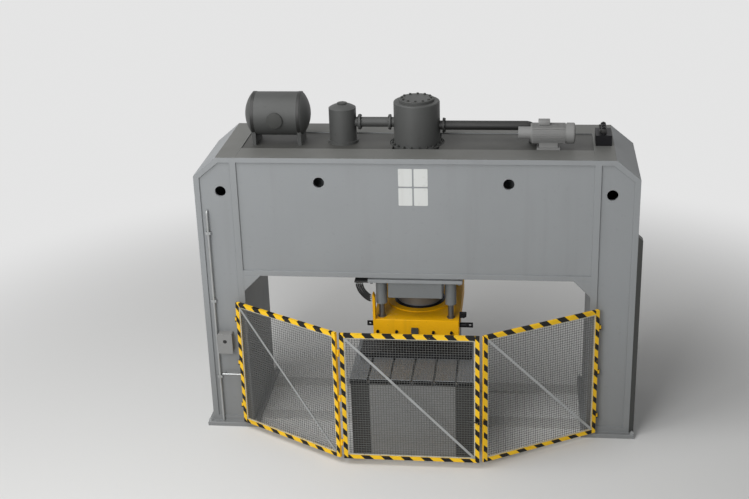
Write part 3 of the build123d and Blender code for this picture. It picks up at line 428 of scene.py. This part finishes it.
# %% Guard geometry, in metres
pin_x, pin_y = 2.960, -0.995      # pins on the uprights
fold_x, fold_y = 1.115, -2.070    # pins between the leaves
tube_face, tube_depth, hinge_gap = 0.066, 0.050, 0.030
side_angle = atan2(pin_y - fold_y, pin_x - fold_x)
side_span = hypot(pin_x - fold_x, pin_y - fold_y)
leaves = {
    "left": ((-pin_x, pin_y), -side_angle, side_span),
    "middle": ((-fold_x, fold_y), 0.0, 2 * fold_x),
    "right": ((fold_x, fold_y), side_angle, side_span),
}
strips_low, strips_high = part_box("middle_leaf_strips")
leaf_low, leaf_high = strips_low.z - tube_face, strips_high.z + tube_face
print("leaf height", round(leaf_high - leaf_low, 3))

# %% Hazard tape
black_share, face_margin = 0.45, 0.0015


def hazard_tape(name, origin, angle, pitch):
    """Yellow paint with black bands, one in every pitch, on a leaf that starts at origin."""
    tape = Finish(name)
    x, y, z = tape.axes()
    along = (x - origin[0]) * cos(angle) + (y - origin[1]) * sin(angle)
    out = (x - origin[0]) * sin(angle) - (y - origin[1]) * cos(angle)
    wobble = tape.noise(4.0, detail=2) * 0.03
    band = ((along + z + wobble) / pitch).part() > 1 - black_share
    face = (out > tube_depth / 2 - face_margin).either(z > leaf_high - face_margin)
    worn = tape.band(tape.noise(24.0, detail=6), 0.66, 0.76)
    grime = tape.band(tape.noise(2.2, detail=5), 0.45, 0.75)
    yellow = tape.mix(grime * 0.35, linear((250, 200, 30)), linear((190, 142, 30)))
    black = tape.mix(worn * 0.7, linear((20, 19, 18)), linear((214, 164, 26)))
    tape.set("Base Color", tape.mix(band * face, yellow, black))
    tape.set("Roughness", 0.36 + grime * 0.2)
    tape.set("Specular IOR Level", 0.3)
    tape.bump(tape.noise(70.0, detail=2), 0.0004)
    return tape


for side, (origin, angle, span) in leaves.items():
    for pieces, pitch in (("stiles", 0.24), ("rails", 0.32)):
        dress(hazard_tape(f"{side}_{pieces}_tape", origin, angle, pitch), f"{side}_leaf_{pieces}")
strip_zinc = painted("strip_zinc", (190, 188, 172), (150, 142, 118), roughness=0.4, wear=0.3)
dress(strip_zinc, "left_leaf_strips", "middle_leaf_strips", "right_leaf_strips")
dress(zinc, "left_leaf_brace", "middle_leaf_brace", "right_leaf_brace", "fold_pins")
dress(dark_grey, "latch_bolt")
dress(blued, "hinge_lugs")

# %% [markdown]
# ## Softened copies
# A CAD mesh is loose triangles with edges as sharp as a razor. Welding a copy of it, smoothing its round
# faces and rounding its edges by a few millimetres lets them catch the light as flame-cut plate does.

# %% Softened copies of the solids
body_of_node = {n: body for body, names in frame["record"]["behaviour"]["bodies"].items() for n in names}


def piece_from(shape, name, body, finish):
    """Turns a bmesh into an object at the origin that rides on a body."""
    piece = object_for(mesh_from(shape, name), name)
    dress(finish, piece)
    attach(piece, body)
    return piece


def shade_by_angle(shape, limit=32):
    """Smooth shading, but crisp where two faces meet at more than limit degrees."""
    for face in shape.faces:
        face.smooth = True
    for edge in shape.edges:
        edge.smooth = len(edge.link_faces) == 2 and edge.calc_face_angle(0) < radians(limit)


def softened(node, finish, rounding):
    """Replaces a CAD node by a welded copy of it with rounded edges."""
    shape = bmesh.new()
    shape.from_mesh(frame["nodes"][node].data)
    bmesh.ops.remove_doubles(shape, verts=shape.verts, dist=2e-5)
    bmesh.ops.dissolve_limit(shape, angle_limit=radians(0.3), verts=shape.verts, edges=shape.edges)
    shade_by_angle(shape)
    piece = piece_from(shape, node + "_softened", body_of_node[node], finish)
    if rounding:
        edge_round = piece.modifiers.new("edges", "BEVEL")
        edge_round.width, edge_round.segments, edge_round.limit_method = rounding, 2, "ANGLE"
        edge_round.angle_limit = radians(50)
    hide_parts(node)


# %% A finish and a rounding for each solid
finish_table = (
    ("left_upright", frame_grey, 0.004),
    ("right_upright", frame_grey, 0.004),
    ("front_girder", frame_grey, 0.004),
    ("rear_girder", frame_grey, 0.004),
    ("haunches", frame_grey, 0.004),
    ("head_plate", plate_grey, 0.004),
    ("base_plates", frame_grey, 0.003),
    ("floor_ties", floor_grey, 0.003),
    ("deck_plates", top_grey, 0.002),
    ("cylinder_block", block_grey, 0.004),
    ("gland_ring", blued, 0),
    ("main_cylinder", tank_grey, 0),
    ("cylinder_head", tank_grey, 0),
    ("ram", chrome, 0),
    ("hub_ring", blued, 0),
    ("crosshead", slide_yellow, 0.003),
    ("return_cylinders", block_grey, 0.002),
    ("return_rods", satin, 0),
    ("punch", turned, 0),
    ("lower_die", turned, 0),
    ("tool_clamp_bars", blued, 0),
    ("clamp_screws", blued, 0),
    ("sensor_box", dark_grey, 0),
    ("lock_bar", blued, 0),
    ("cam_bracket", blued, 0.002),
    ("hose_post", slide_yellow, 0.002),
    ("bed_frame", bed_grey, 0.004),
    ("bed_ribs", bed_grey, 0),
    ("table_brackets", dark_grey, 0.003),
    ("t_slot_table", milled, 0.001),
    ("die_bolster", blued, 0.002),
    ("oil_tank", tank_grey, 0),
    ("surge_drum", tank_grey, 0),
    ("suction_pipe", tank_grey, 0),
    ("pressure_pipe", pipe_black, 0),
    ("pump_motor", motor_grey, 0),
    ("valve_manifold", blued, 0.002),
    ("conduit", zinc, 0),
    ("junction_box", motor_grey, 0.001),
    ("hook_rail", zinc, 0),
    ("cable_trunk", dark_grey, 0.002),
)
for node, finish, rounding in finish_table:
    softened(node, finish, rounding)
print("softened", len(finish_table), "solids")

# %% [markdown]
# ## Wire mesh
# The real guard has a welded mesh of about forty millimetres. An image would be the cheap way, but real
# wires cast real shadows. One wire, a thin cylinder with five sides, is placed for each line, first upright
# and then level, so that the two layers touch.

# %% A round bar, and a leaf's own axes
def rod(shape, start, end, radius, sides):
    """Adds a round bar between two points."""
    start, end = Vector(start), Vector(end)
    verts = bmesh.ops.create_cone(shape, cap_ends=True, segments=sides, radius1=radius, radius2=radius,
                                  depth=(end - start).length)["verts"]
    turn = (end - start).to_track_quat("Z", "Y").to_matrix()
    bmesh.ops.rotate(shape, verts=verts, cent=(0, 0, 0), matrix=turn)
    bmesh.ops.translate(shape, verts=verts, vec=(start + end) / 2)


def leaf_matrix(origin, angle):
    """Leaf axes to row axes: along the leaf, up, and out to the operator."""
    along, out = Vector((cos(angle), sin(angle), 0)), Vector((sin(angle), -cos(angle), 0))
    axes = Matrix((along, Vector((0, 0, 1)), out)).transposed().to_4x4()
    return Matrix.Translation((origin[0], origin[1], 0)) @ axes


# %% Wire mesh on the leaves
wire_radius, wire_sides, wire_pitch = 0.0036, 5, 0.042
upright_out, level_out = 0.0036, 0.0060    # the two layers, in front of the leaf's middle
wire_clearance = 0.002
wire_finish = painted("wire_grey", (88, 89, 88), (76, 74, 70), roughness=0.5)
for side, (origin, angle, span) in leaves.items():
    shape = bmesh.new()
    left = hinge_gap + tube_face + wire_clearance
    right_end = span - left
    low, high = leaf_low + tube_face + wire_clearance, leaf_high - tube_face - wire_clearance
    columns, rows = round((right_end - left) / wire_pitch), round((high - low) / wire_pitch)
    for i in range(1, columns):
        x = left + (right_end - left) * i / columns
        rod(shape, (x, low, upright_out), (x, high, upright_out), wire_radius, wire_sides)
    for i in range(1, rows):
        z = low + (high - low) * i / rows
        rod(shape, (left, z, level_out), (right_end, z, level_out), wire_radius, wire_sides)
    bmesh.ops.transform(shape, matrix=leaf_matrix(origin, angle), verts=shape.verts)
    mesh_piece = piece_from(shape, f"{side}_wire_mesh", f"{side}_leaf", wire_finish)
    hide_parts(f"{side}_leaf_mesh")
    print(side, "mesh", columns - 1, "by", rows - 1, "wires")

# %% [markdown]
# ## Hoses
# Four hydraulic hoses hang between the head plate and the post on the crosshead. Each follows a smooth
# spline through its route's points.

# %% Curves as meshes
def spline_object(name, points, radius=0.0):
    """A smooth open curve, as a bare line or as a round tube."""
    curve = bpy.data.curves.new(name, "CURVE")
    curve.dimensions, curve.resolution_u, curve.bevel_depth, curve.bevel_resolution = "3D", 12, radius, 3
    curve.use_fill_caps = radius > 0
    spline = curve.splines.new("NURBS")
    spline.points.add(len(points) - 1)
    for point, place in zip(spline.points, points):
        point.co = (*place, 1)
    spline.order_u, spline.use_endpoint_u = 3, True
    return object_for(curve, name)


def mesh_of(curve_object):
    """Swaps a curve for its mesh."""
    bpy.context.view_layer.update()
    mesh = bpy.data.meshes.new_from_object(curve_object.evaluated_get(bpy.context.evaluated_depsgraph_get()))
    bpy.data.objects.remove(curve_object)
    return mesh


# %% Hoses
hose_count, hose_pitch, hose_radius = 4, 0.032, 0.015
hose_y, plate_bottom, post_x, hose_end = -0.840, 2.685, -0.705, 2.330
tab_reach, tab_inset = 0.218, 0.018
hose_start = -plate_side - tab_reach + tab_inset
hose_rubber = painted("hose_rubber", (30, 30, 30), (58, 54, 48), roughness=0.55)
for row in range(hose_count):
    shift = row * hose_pitch
    route = [
        (hose_start + shift, hose_y, plate_bottom),
        (hose_start + shift, hose_y, plate_bottom - 0.150 + 0.35 * shift),
        (post_x - 0.075 + 0.42 * shift, hose_y, hose_end + shift),
        (post_x, hose_y, hose_end + shift),
    ]
    path = [tuple(v.co) for v in mesh_of(spline_object("hose_line", route)).vertices]
    tube = object_for(mesh_of(spline_object("hose_tube", route, hose_radius)), f"hose_{row + 1}")
    dress(hose_rubber, tube)
    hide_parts("hose_bundle")
    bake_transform(tube)

# %% [markdown]
# ## Bare plates on the girder
# Four small plates sit on the girder in two rows. They carry nothing here: each is a thin sheet with
# rounded corners, left in plain white paint.

# %% Bare plates
sheet_size, sheet_corner = (0.218, 0.003, 0.292), 0.014
sheet_x, sheet_heights = 0.122, (4.484, 4.166)
panel_face = -0.900


def sheet(shape, centre, size, corner):
    """Adds a sheet that faces the operator, with its four corners rounded."""
    verts = bmesh.ops.create_cube(shape, size=1.0)["verts"]
    bmesh.ops.scale(shape, verts=verts, vec=size)
    bmesh.ops.translate(shape, verts=verts, vec=centre)
    through = {e for v in verts for e in v.link_edges if abs(e.verts[0].co.y - e.verts[1].co.y) > size[1] / 2}
    bmesh.ops.bevel(shape, geom=list(through), offset=corner, segments=4, profile=0.5, affect="EDGES",
                    material=-1)


plate_white = painted("plate_white", (214, 216, 214), (160, 156, 148), roughness=0.4, wear=0.2, streaks=0.3)
shape = bmesh.new()
for x in (-sheet_x, sheet_x):
    for z in sheet_heights:
        sheet(shape, (x, panel_face - sheet_size[1] / 2, z), sheet_size, sheet_corner)
shade_by_angle(shape)
piece_from(shape, "bare_plates", "frame", plate_white)

# %% [markdown]
# ## Bolts and nuts
# Every joint that is not welded shows its fasteners. One helper makes a hex head with a turned face, and a
# washer and a bolt's end where they are wanted, along any axis. Each group goes on the piece that it holds.

# %% One fastener
def hexagon(shape, place, axis, across, height, washer=0.0, stud=0.0):
    """A hex head or nut that stands on place and points along axis, with a washer and a stud's end."""
    axis = Vector(axis).normalized()
    turn = axis.to_track_quat("Z", "Y").to_matrix().to_4x4()
    corner_radius = across * 0.577
    base = washer * 0.09
    parts = bmesh.new()
    if washer:
        disc = bmesh.ops.create_cone(parts, cap_ends=True, segments=20, radius1=washer / 2,
                                     radius2=washer / 2, depth=base)
        bmesh.ops.translate(parts, verts=disc["verts"], vec=(0, 0, base / 2))
    head = bmesh.ops.create_cone(parts, cap_ends=True, segments=6, radius1=corner_radius,
                                 radius2=corner_radius, depth=height)
    bmesh.ops.translate(parts, verts=head["verts"], vec=(0, 0, base + height / 2))
    top = [f for f in parts.faces if f.calc_center_median().z > base + height * 0.99]
    bmesh.ops.inset_region(parts, faces=top, thickness=across * 0.05)
    bmesh.ops.translate(parts, verts=top[0].verts, vec=(0, 0, across * 0.02))
    if stud:
        end = bmesh.ops.create_cone(parts, cap_ends=True, segments=16, radius1=stud / 2,
                                    radius2=stud * 0.42, depth=stud * 0.7)
        bmesh.ops.translate(parts, verts=end["verts"], vec=(0, 0, base + height + stud * 0.3))
    bmesh.ops.transform(parts, matrix=Matrix.Translation(place) @ turn, verts=parts.verts)
    loose = mesh_from(parts, "loose")
    shape.from_mesh(loose)
    bpy.data.meshes.remove(loose)


def ring(count, radius, turn=0.0):
    """Points evenly round a circle."""
    return [(radius * cos(turn + 2 * pi * i / count), radius * sin(turn + 2 * pi * i / count))
            for i in range(count)]


def fasteners(name, body, finish, *groups):
    """One piece. Each group is a size and the spots it repeats on, and a spot is a place and an axis."""
    shape = bmesh.new()
    for size, spots in groups:
        for place, axis in spots:
            hexagon(shape, place, axis, *size)
    shade_by_angle(shape)
    print(name, sum(len(spots) for size, spots in groups))
    piece_from(shape, name, body, finish)


# %% [markdown]
# ## Where the fasteners go
# A bolt circle comes from `ring`, and a rectangle of bolts from its half sizes. Heights come from the frame,
# so each head sits on the face that it clamps. A size is across the flats, height, washer and stud.

# %% Bolts of the portal and the crosshead
both_ways = (-1, 1)
to_top, to_floor, to_front, to_left, to_right = (0, 0, 1), (0, 0, -1), (0, -1, 0), (-1, 0, 0), (1, 0, 0)

anchor_inset, base_corner = 0.040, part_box("base_plates")[1]
anchor_columns = (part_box("floor_ties")[1].x + anchor_inset, base_corner.x - anchor_inset)
anchor_y = base_corner.y - anchor_inset
anchor_spots = [((side * x, end * anchor_y, base_corner.z), to_top)
                for side in both_ways for x in anchor_columns for end in both_ways]
fasteners("anchor_nuts", "frame", zinc, ((0.055, 0.029, 0.072, 0.036), anchor_spots))

cover_z, barrel_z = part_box("cylinder_head")[1].z - 0.001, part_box("main_cylinder")[1].z
cover_spots = [((x, y, cover_z), to_top) for x, y in ring(12, 0.235)]
barrel_spots = [((x, y, barrel_z), to_top) for x, y in ring(20, 0.397, turn=0.15)]
fasteners("cylinder_bolts", "frame", dark_grey, ((0.036, 0.020), cover_spots),
          ((0.036, 0.024, 0.0, 0.022), barrel_spots))

plate_bolt_x, plate_bolt_rows = 0.710, (0.855, 0.520, 0.250)
plate_spots = [((side * plate_bolt_x, end * y, plate_bottom), to_floor)
               for side in both_ways for end in both_ways for y in plate_bolt_rows]
fasteners("head_plate_bolts", "frame", block_grey, ((0.046, 0.026, 0.062), plate_spots))

hub_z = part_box("hub_ring")[1].z - 0.001
hub_spots = [((x, y, hub_z), to_top) for x, y in ring(16, 0.399)]
fasteners("hub_screws", "slide", blued, ((0.020, 0.003), hub_spots))

# %% Bolts of the pipes and the junction box
deck_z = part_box("deck_plates")[1].z
suction_z, pressure_z = deck_z + 0.330, deck_z + 0.280
suction_circle, pressure_circle = ring(8, 0.104, turn=pi / 8), ring(8, 0.099, turn=pi / 8)
flange_faces = (
    (-0.935, to_left, suction_z, suction_circle),
    (-0.905, to_right, suction_z, suction_circle),
    (-0.445, to_left, suction_z, suction_circle),
    (0.445, to_right, pressure_z, pressure_circle),
)
foot_flange_x, foot_flange_height = 1.9, 0.030
flange_spots = [((x, y, z + rise), axis) for x, axis, z, circle in flange_faces for y, rise in circle]
flange_spots += [((foot_flange_x + x, y, deck_z + foot_flange_height), to_top) for x, y in pressure_circle]
fasteners("flange_bolts", "frame", dark_grey, ((0.024, 0.015), flange_spots))

box_low, box_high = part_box("junction_box")
box_middle = (box_low + box_high) / 2
box_spots = [((box_middle.x + side * 0.108, box_low.y, box_middle.z + end * 0.162), to_front)
             for side in both_ways for end in both_ways]
fasteners("box_screws", "frame", zinc, ((0.014, 0.006), box_spots))

# %% [markdown]
# ## Motor fins and fan cover
# A pump motor cools itself with thin fins along its body and a fan behind a slotted cover. Each fin is a thin
# bar with bevelled edges, made above the shaft and turned round it, and a terminal box sits on top. Fan slots
# and tank bands start alike, as a circle whose edge is extruded, so one helper makes both.

# %% Helpers for blocks and rims
x_turn, y_turn = Matrix.Rotation(pi / 2, 3, "X"), Matrix.Rotation(pi / 2, 3, "Y")


def block(shape, low, high, corner, segments=2):
    """Adds a box between two corners, with rounded edges."""
    low, high = Vector(low), Vector(high)
    verts = bmesh.ops.create_cube(shape, size=1.0)["verts"]
    bmesh.ops.scale(shape, verts=verts, vec=high - low)
    bmesh.ops.translate(shape, verts=verts, vec=(low + high) / 2)
    edges = list({e for v in verts for e in v.link_edges})
    bmesh.ops.bevel(shape, geom=edges, offset=corner, segments=segments, profile=0.5, affect="EDGES",
                    material=-1)


def extruded_circle(shape, segments, radius):
    """Adds a circle and extrudes its edge on the spot. Returns the first verts and the new ones."""
    first = list(bmesh.ops.create_circle(shape, cap_ends=False, segments=segments, radius=radius)["verts"])
    edges = list({e for v in first for e in v.link_edges})
    grown = bmesh.ops.extrude_edge_only(shape, edges=edges)["geom"]
    return first, [g for g in grown if isinstance(g, bmesh.types.BMVert)]


# %% Motor fins and terminal box
motor_low, motor_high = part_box("pump_motor")
motor_x, motor_y, motor_z = 2.090, -0.262, motor_low.z + 0.240
fin_count, fin_reach, fin_half = 36, 0.260, 0.0025
fin_root, fin_tip = 0.140, 0.163
shape = bmesh.new()
for i in range(fin_count):
    before = len(shape.verts)
    block(shape, (motor_x - fin_reach, -fin_half, fin_root), (motor_x + fin_reach, fin_half, fin_tip),
          corner=0.001, segments=1)
    shape.verts.ensure_lookup_table()
    fin = shape.verts[before:]
    around = Matrix.Rotation(2 * pi * i / fin_count, 3, "X")
    bmesh.ops.rotate(shape, verts=fin, cent=(0, 0, 0), matrix=around)
    bmesh.ops.translate(shape, verts=fin, vec=(0, motor_y, motor_z))
block(shape, (motor_x - 0.160, motor_y - 0.075, motor_z + 0.150),
      (motor_x + 0.020, motor_y + 0.075, motor_z + 0.215), corner=0.008)
shade_by_angle(shape)
piece_from(shape, "motor_fins", "frame", motor_grey)

# %% Fan slots
slot_count, slot_start, slot_pitch, slot_width, slot_depth = 5, 0.030, 0.022, 0.009, 0.003
shape = bmesh.new()
for i in range(slot_count):
    radius = slot_start + slot_pitch * i
    inner, outer = extruded_circle(shape, 40, radius)
    growth = (radius + slot_width) / radius
    bmesh.ops.scale(shape, verts=outer, vec=(growth, growth, 1))
bmesh.ops.solidify(shape, geom=shape.faces, thickness=slot_depth)
bmesh.ops.rotate(shape, verts=shape.verts, cent=(0, 0, 0), matrix=y_turn)
bmesh.ops.translate(shape, verts=shape.verts, vec=(motor_high.x, motor_y, motor_z))
bmesh.ops.recalc_face_normals(shape, faces=shape.faces)
piece_from(shape, "fan_slots", "frame", pipe_black)
print("motor dressed with", fin_count, "fins and", slot_count, "slots")

# %% [markdown]
# ## Screws on the guard
# The flat strips clamp the mesh with a screw every quarter of a metre. They are placed in a leaf's own axes,
# where the pattern is a plain rectangle, and turned onto the leaf by its matrix.

# %% Guard screws
screw_inset, screw_out, screw_spacing = 0.010, 0.0135, 0.25
screw_size = (0.011, 0.006, 0.018)
for side, (origin, angle, span) in leaves.items():
    x_low = hinge_gap + tube_face + screw_inset
    x_high = span - x_low
    z_low, z_high = leaf_low + tube_face + screw_inset, leaf_high - tube_face - screw_inset
    across, upward = round((x_high - x_low) / screw_spacing), round((z_high - z_low) / screw_spacing)
    spots = [(x_low + (x_high - x_low) * i / across, z) for i in range(across + 1) for z in (z_low, z_high)]
    spots += [(x, z_low + (z_high - z_low) * i / upward) for i in range(1, upward) for x in (x_low, x_high)]
    shape = bmesh.new()
    for x, z in spots:
        hexagon(shape, (x, z, screw_out), to_top, *screw_size)
    bmesh.ops.transform(shape, matrix=leaf_matrix(origin, angle), verts=shape.verts)
    shade_by_angle(shape)
    piece_from(shape, f"{side}_strip_screws", f"{side}_leaf", zinc)
    print(side, "leaf:", len(spots), "screws")

# %% [markdown]
# ## Weld beads
# Plate this thick is joined by fillet welds, and their beads soften the corners of the recessed panels. A bead
# is a slim round bar that sinks into the corner, one for each straight run, joined end to end.

# %% Weld beads
bead_radius, bead_overlap, bead_y = 0.008, 0.001, 0.901
panel_end, panel_low, panel_high = 2.799, 2.866, 4.714
upright_panel = [(2.901, 0.156), (2.901, panel_high), (3.085, panel_high), (3.409, 4.450), (3.409, 0.156)]
foot_outline, foot_z = [(2.799, -0.926), (3.501, -0.926), (3.501, 0.926), (2.799, 0.926)], 0.071
weld_grey = painted("weld_grey", (132, 135, 136), (96, 96, 93), texture=0.004)


def bead(shape, start, end):
    rod(shape, start, end, bead_radius, sides=8)


def bead_loop(shape, corners):
    """Beads from corner to corner, and from the last to the first."""
    for start, end in zip(corners, corners[1:] + corners[:1]):
        bead(shape, start, end)


shape = bmesh.new()
level_end, low_end, high_end = panel_end + bead_overlap, panel_low - bead_overlap, panel_high + bead_overlap
for y in (-bead_y, bead_y):
    for z in (panel_low, panel_high):
        bead(shape, (-level_end, y, z), (level_end, y, z))
    for side in both_ways:
        bead(shape, (side * panel_end, y, low_end), (side * panel_end, y, high_end))
        bead_loop(shape, [(side * x, y, z) for x, z in upright_panel])
for side in both_ways:
    bead_loop(shape, [(side * x, y, foot_z) for x, y in foot_outline])
shade_by_angle(shape, limit=50)
piece_from(shape, "frame_welds", "frame", weld_grey)
print("weld beads done")

# %% [markdown]
# ## Tank fittings
# A steel band holds the tank on each saddle, and a round cover closes the opening in its side. A band is an
# extruded circle that is made solid; a cover is a disc whose top is inset and pushed out, with its screws.

# %% Tank bands
tank_x, tank_radius = -2.25, 0.350
tank_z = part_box("oil_tank")[1].z - tank_radius
band_reach, band_width, band_gap, band_thick = 0.37, 0.050, 0.0005, 0.004
shape = bmesh.new()
for side in both_ways:
    first, grown = extruded_circle(shape, 64, tank_radius + band_gap)
    place = (tank_x + side * band_reach - band_width / 2, 0, tank_z)
    bmesh.ops.translate(shape, verts=grown, vec=(0, 0, band_width))
    bmesh.ops.rotate(shape, verts=first + grown, cent=(0, 0, 0), matrix=y_turn)
    bmesh.ops.translate(shape, verts=first + grown, vec=place)
bmesh.ops.recalc_face_normals(shape, faces=shape.faces)
bmesh.ops.solidify(shape, geom=shape.faces, thickness=-band_thick)
bmesh.ops.recalc_face_normals(shape, faces=shape.faces)
shade_by_angle(shape)
piece_from(shape, "tank_bands", "frame", pipe_black)
print("tank bands", len(both_ways))


# %% Covers of the tank and the drum
def round_cover(shape, centre, axis, radius, height, screws=0):
    """Adds a disc with a raised middle that stands on centre and points along axis."""
    turn = Matrix.Translation(centre) @ Vector(axis).to_track_quat("Z", "Y").to_matrix().to_4x4()
    disc = bmesh.ops.create_cone(shape, cap_ends=True, segments=48, radius1=radius, radius2=radius,
                                 depth=height)["verts"]
    bmesh.ops.translate(shape, verts=disc, vec=(0, 0, height / 2))
    top = [f for f in {f for v in disc for f in v.link_faces} if f.calc_center_median().z > height * 0.99]
    bmesh.ops.inset_region(shape, faces=top, thickness=radius * 0.26)
    bmesh.ops.translate(shape, verts=top[0].verts, vec=(0, 0, height * 0.35))
    faces = {f for v in disc for f in v.link_faces} | set(top)
    bmesh.ops.transform(shape, matrix=turn, verts=list({v for f in faces for v in f.verts}))
    for x, y in ring(screws, radius * 0.87):
        hexagon(shape, turn @ Vector((x, y, height - 0.001)), axis, radius * 0.12, radius * 0.07)


cover_height = tank_z - 0.02
neck_radius, neck_depth = 0.105, 0.05
shape = bmesh.new()
round_cover(shape, (tank_x, -tank_radius - 0.012, cover_height), to_front, 0.130, 0.024, screws=10)
neck = bmesh.ops.create_cone(shape, cap_ends=True, segments=40, radius1=neck_radius, radius2=neck_radius,
                             depth=neck_depth)["verts"]
bmesh.ops.rotate(shape, verts=neck, cent=(0, 0, 0), matrix=x_turn)
bmesh.ops.translate(shape, verts=neck, vec=(tank_x, -tank_radius + 0.012, cover_height))
drum_x, drum_top = -1.2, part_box("surge_drum")[1].z
round_cover(shape, (drum_x, 0, drum_top - 0.012), to_top, 0.080, 0.020, screws=8)
shade_by_angle(shape)
piece_from(shape, "tank_covers", "frame", dark_grey)
print("covers on the tank and the drum")

# %% [markdown]
# ## Hose ends
# A hose is crimped into a steel ferrule at each end. The upper four ride on the frame and the lower four on
# the crosshead, so they stay with what they screw into.

# %% Hose ends
ferrule_radius, nut_across = 0.0158, 0.0305
upper, lower = bmesh.new(), bmesh.new()
for row in range(hose_count):
    x, z = hose_start + row * hose_pitch, hose_end + row * hose_pitch
    rod(upper, (x, hose_y, plate_bottom), (x, hose_y, plate_bottom - 0.052), ferrule_radius, sides=20)
    hexagon(upper, (x, hose_y, plate_bottom), to_floor, nut_across, 0.016)
    rod(lower, (post_x, hose_y, z), (post_x - 0.036, hose_y, z), ferrule_radius, sides=20)
    hexagon(lower, (post_x, hose_y, z), to_left, nut_across, 0.014)
for shape, name, body in ((upper, "hose_ends_upper", "frame"), (lower, "hose_ends_lower", "slide")):
    shade_by_angle(shape)
    piece_from(shape, name, body, zinc)
    print(name, hose_count)

# %% [markdown]
# ## Valve coils and the box's port
# Solenoid coils are moulded blocks on the valve stems with a plug at one side. The port in the junction box
# is closed by a dark lens with a raised middle, which is a round cover without screws.

# %% Valve coils and port
coil_x, coil_pitch, stem_top = 2.955, 0.130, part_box("valve_manifold")[1].z
shape = bmesh.new()
for y in (-coil_pitch, 0, coil_pitch):
    block(shape, (coil_x - 0.042, y - 0.042, stem_top - 0.088),
          (coil_x + 0.042, y + 0.042, stem_top - 0.018), corner=0.006)
    block(shape, (coil_x - 0.070, y - 0.018, stem_top - 0.078),
          (coil_x - 0.040, y + 0.018, stem_top - 0.034), corner=0.004)
    hexagon(shape, (coil_x, y, stem_top - 0.001), to_top, 0.030, 0.012)
shade_by_angle(shape)
piece_from(shape, "valve_coils", "frame", pipe_black)

port_depth, port_rise = 0.065, 0.0414    # behind the box's front, and above its middle
shape = bmesh.new()
round_cover(shape, (box_middle.x, box_low.y + port_depth, box_middle.z + port_rise), to_front, 0.0315, 0.050)
piece_from(shape, "port_lens", "frame", pipe_black)
print("valve coils and port lens made")
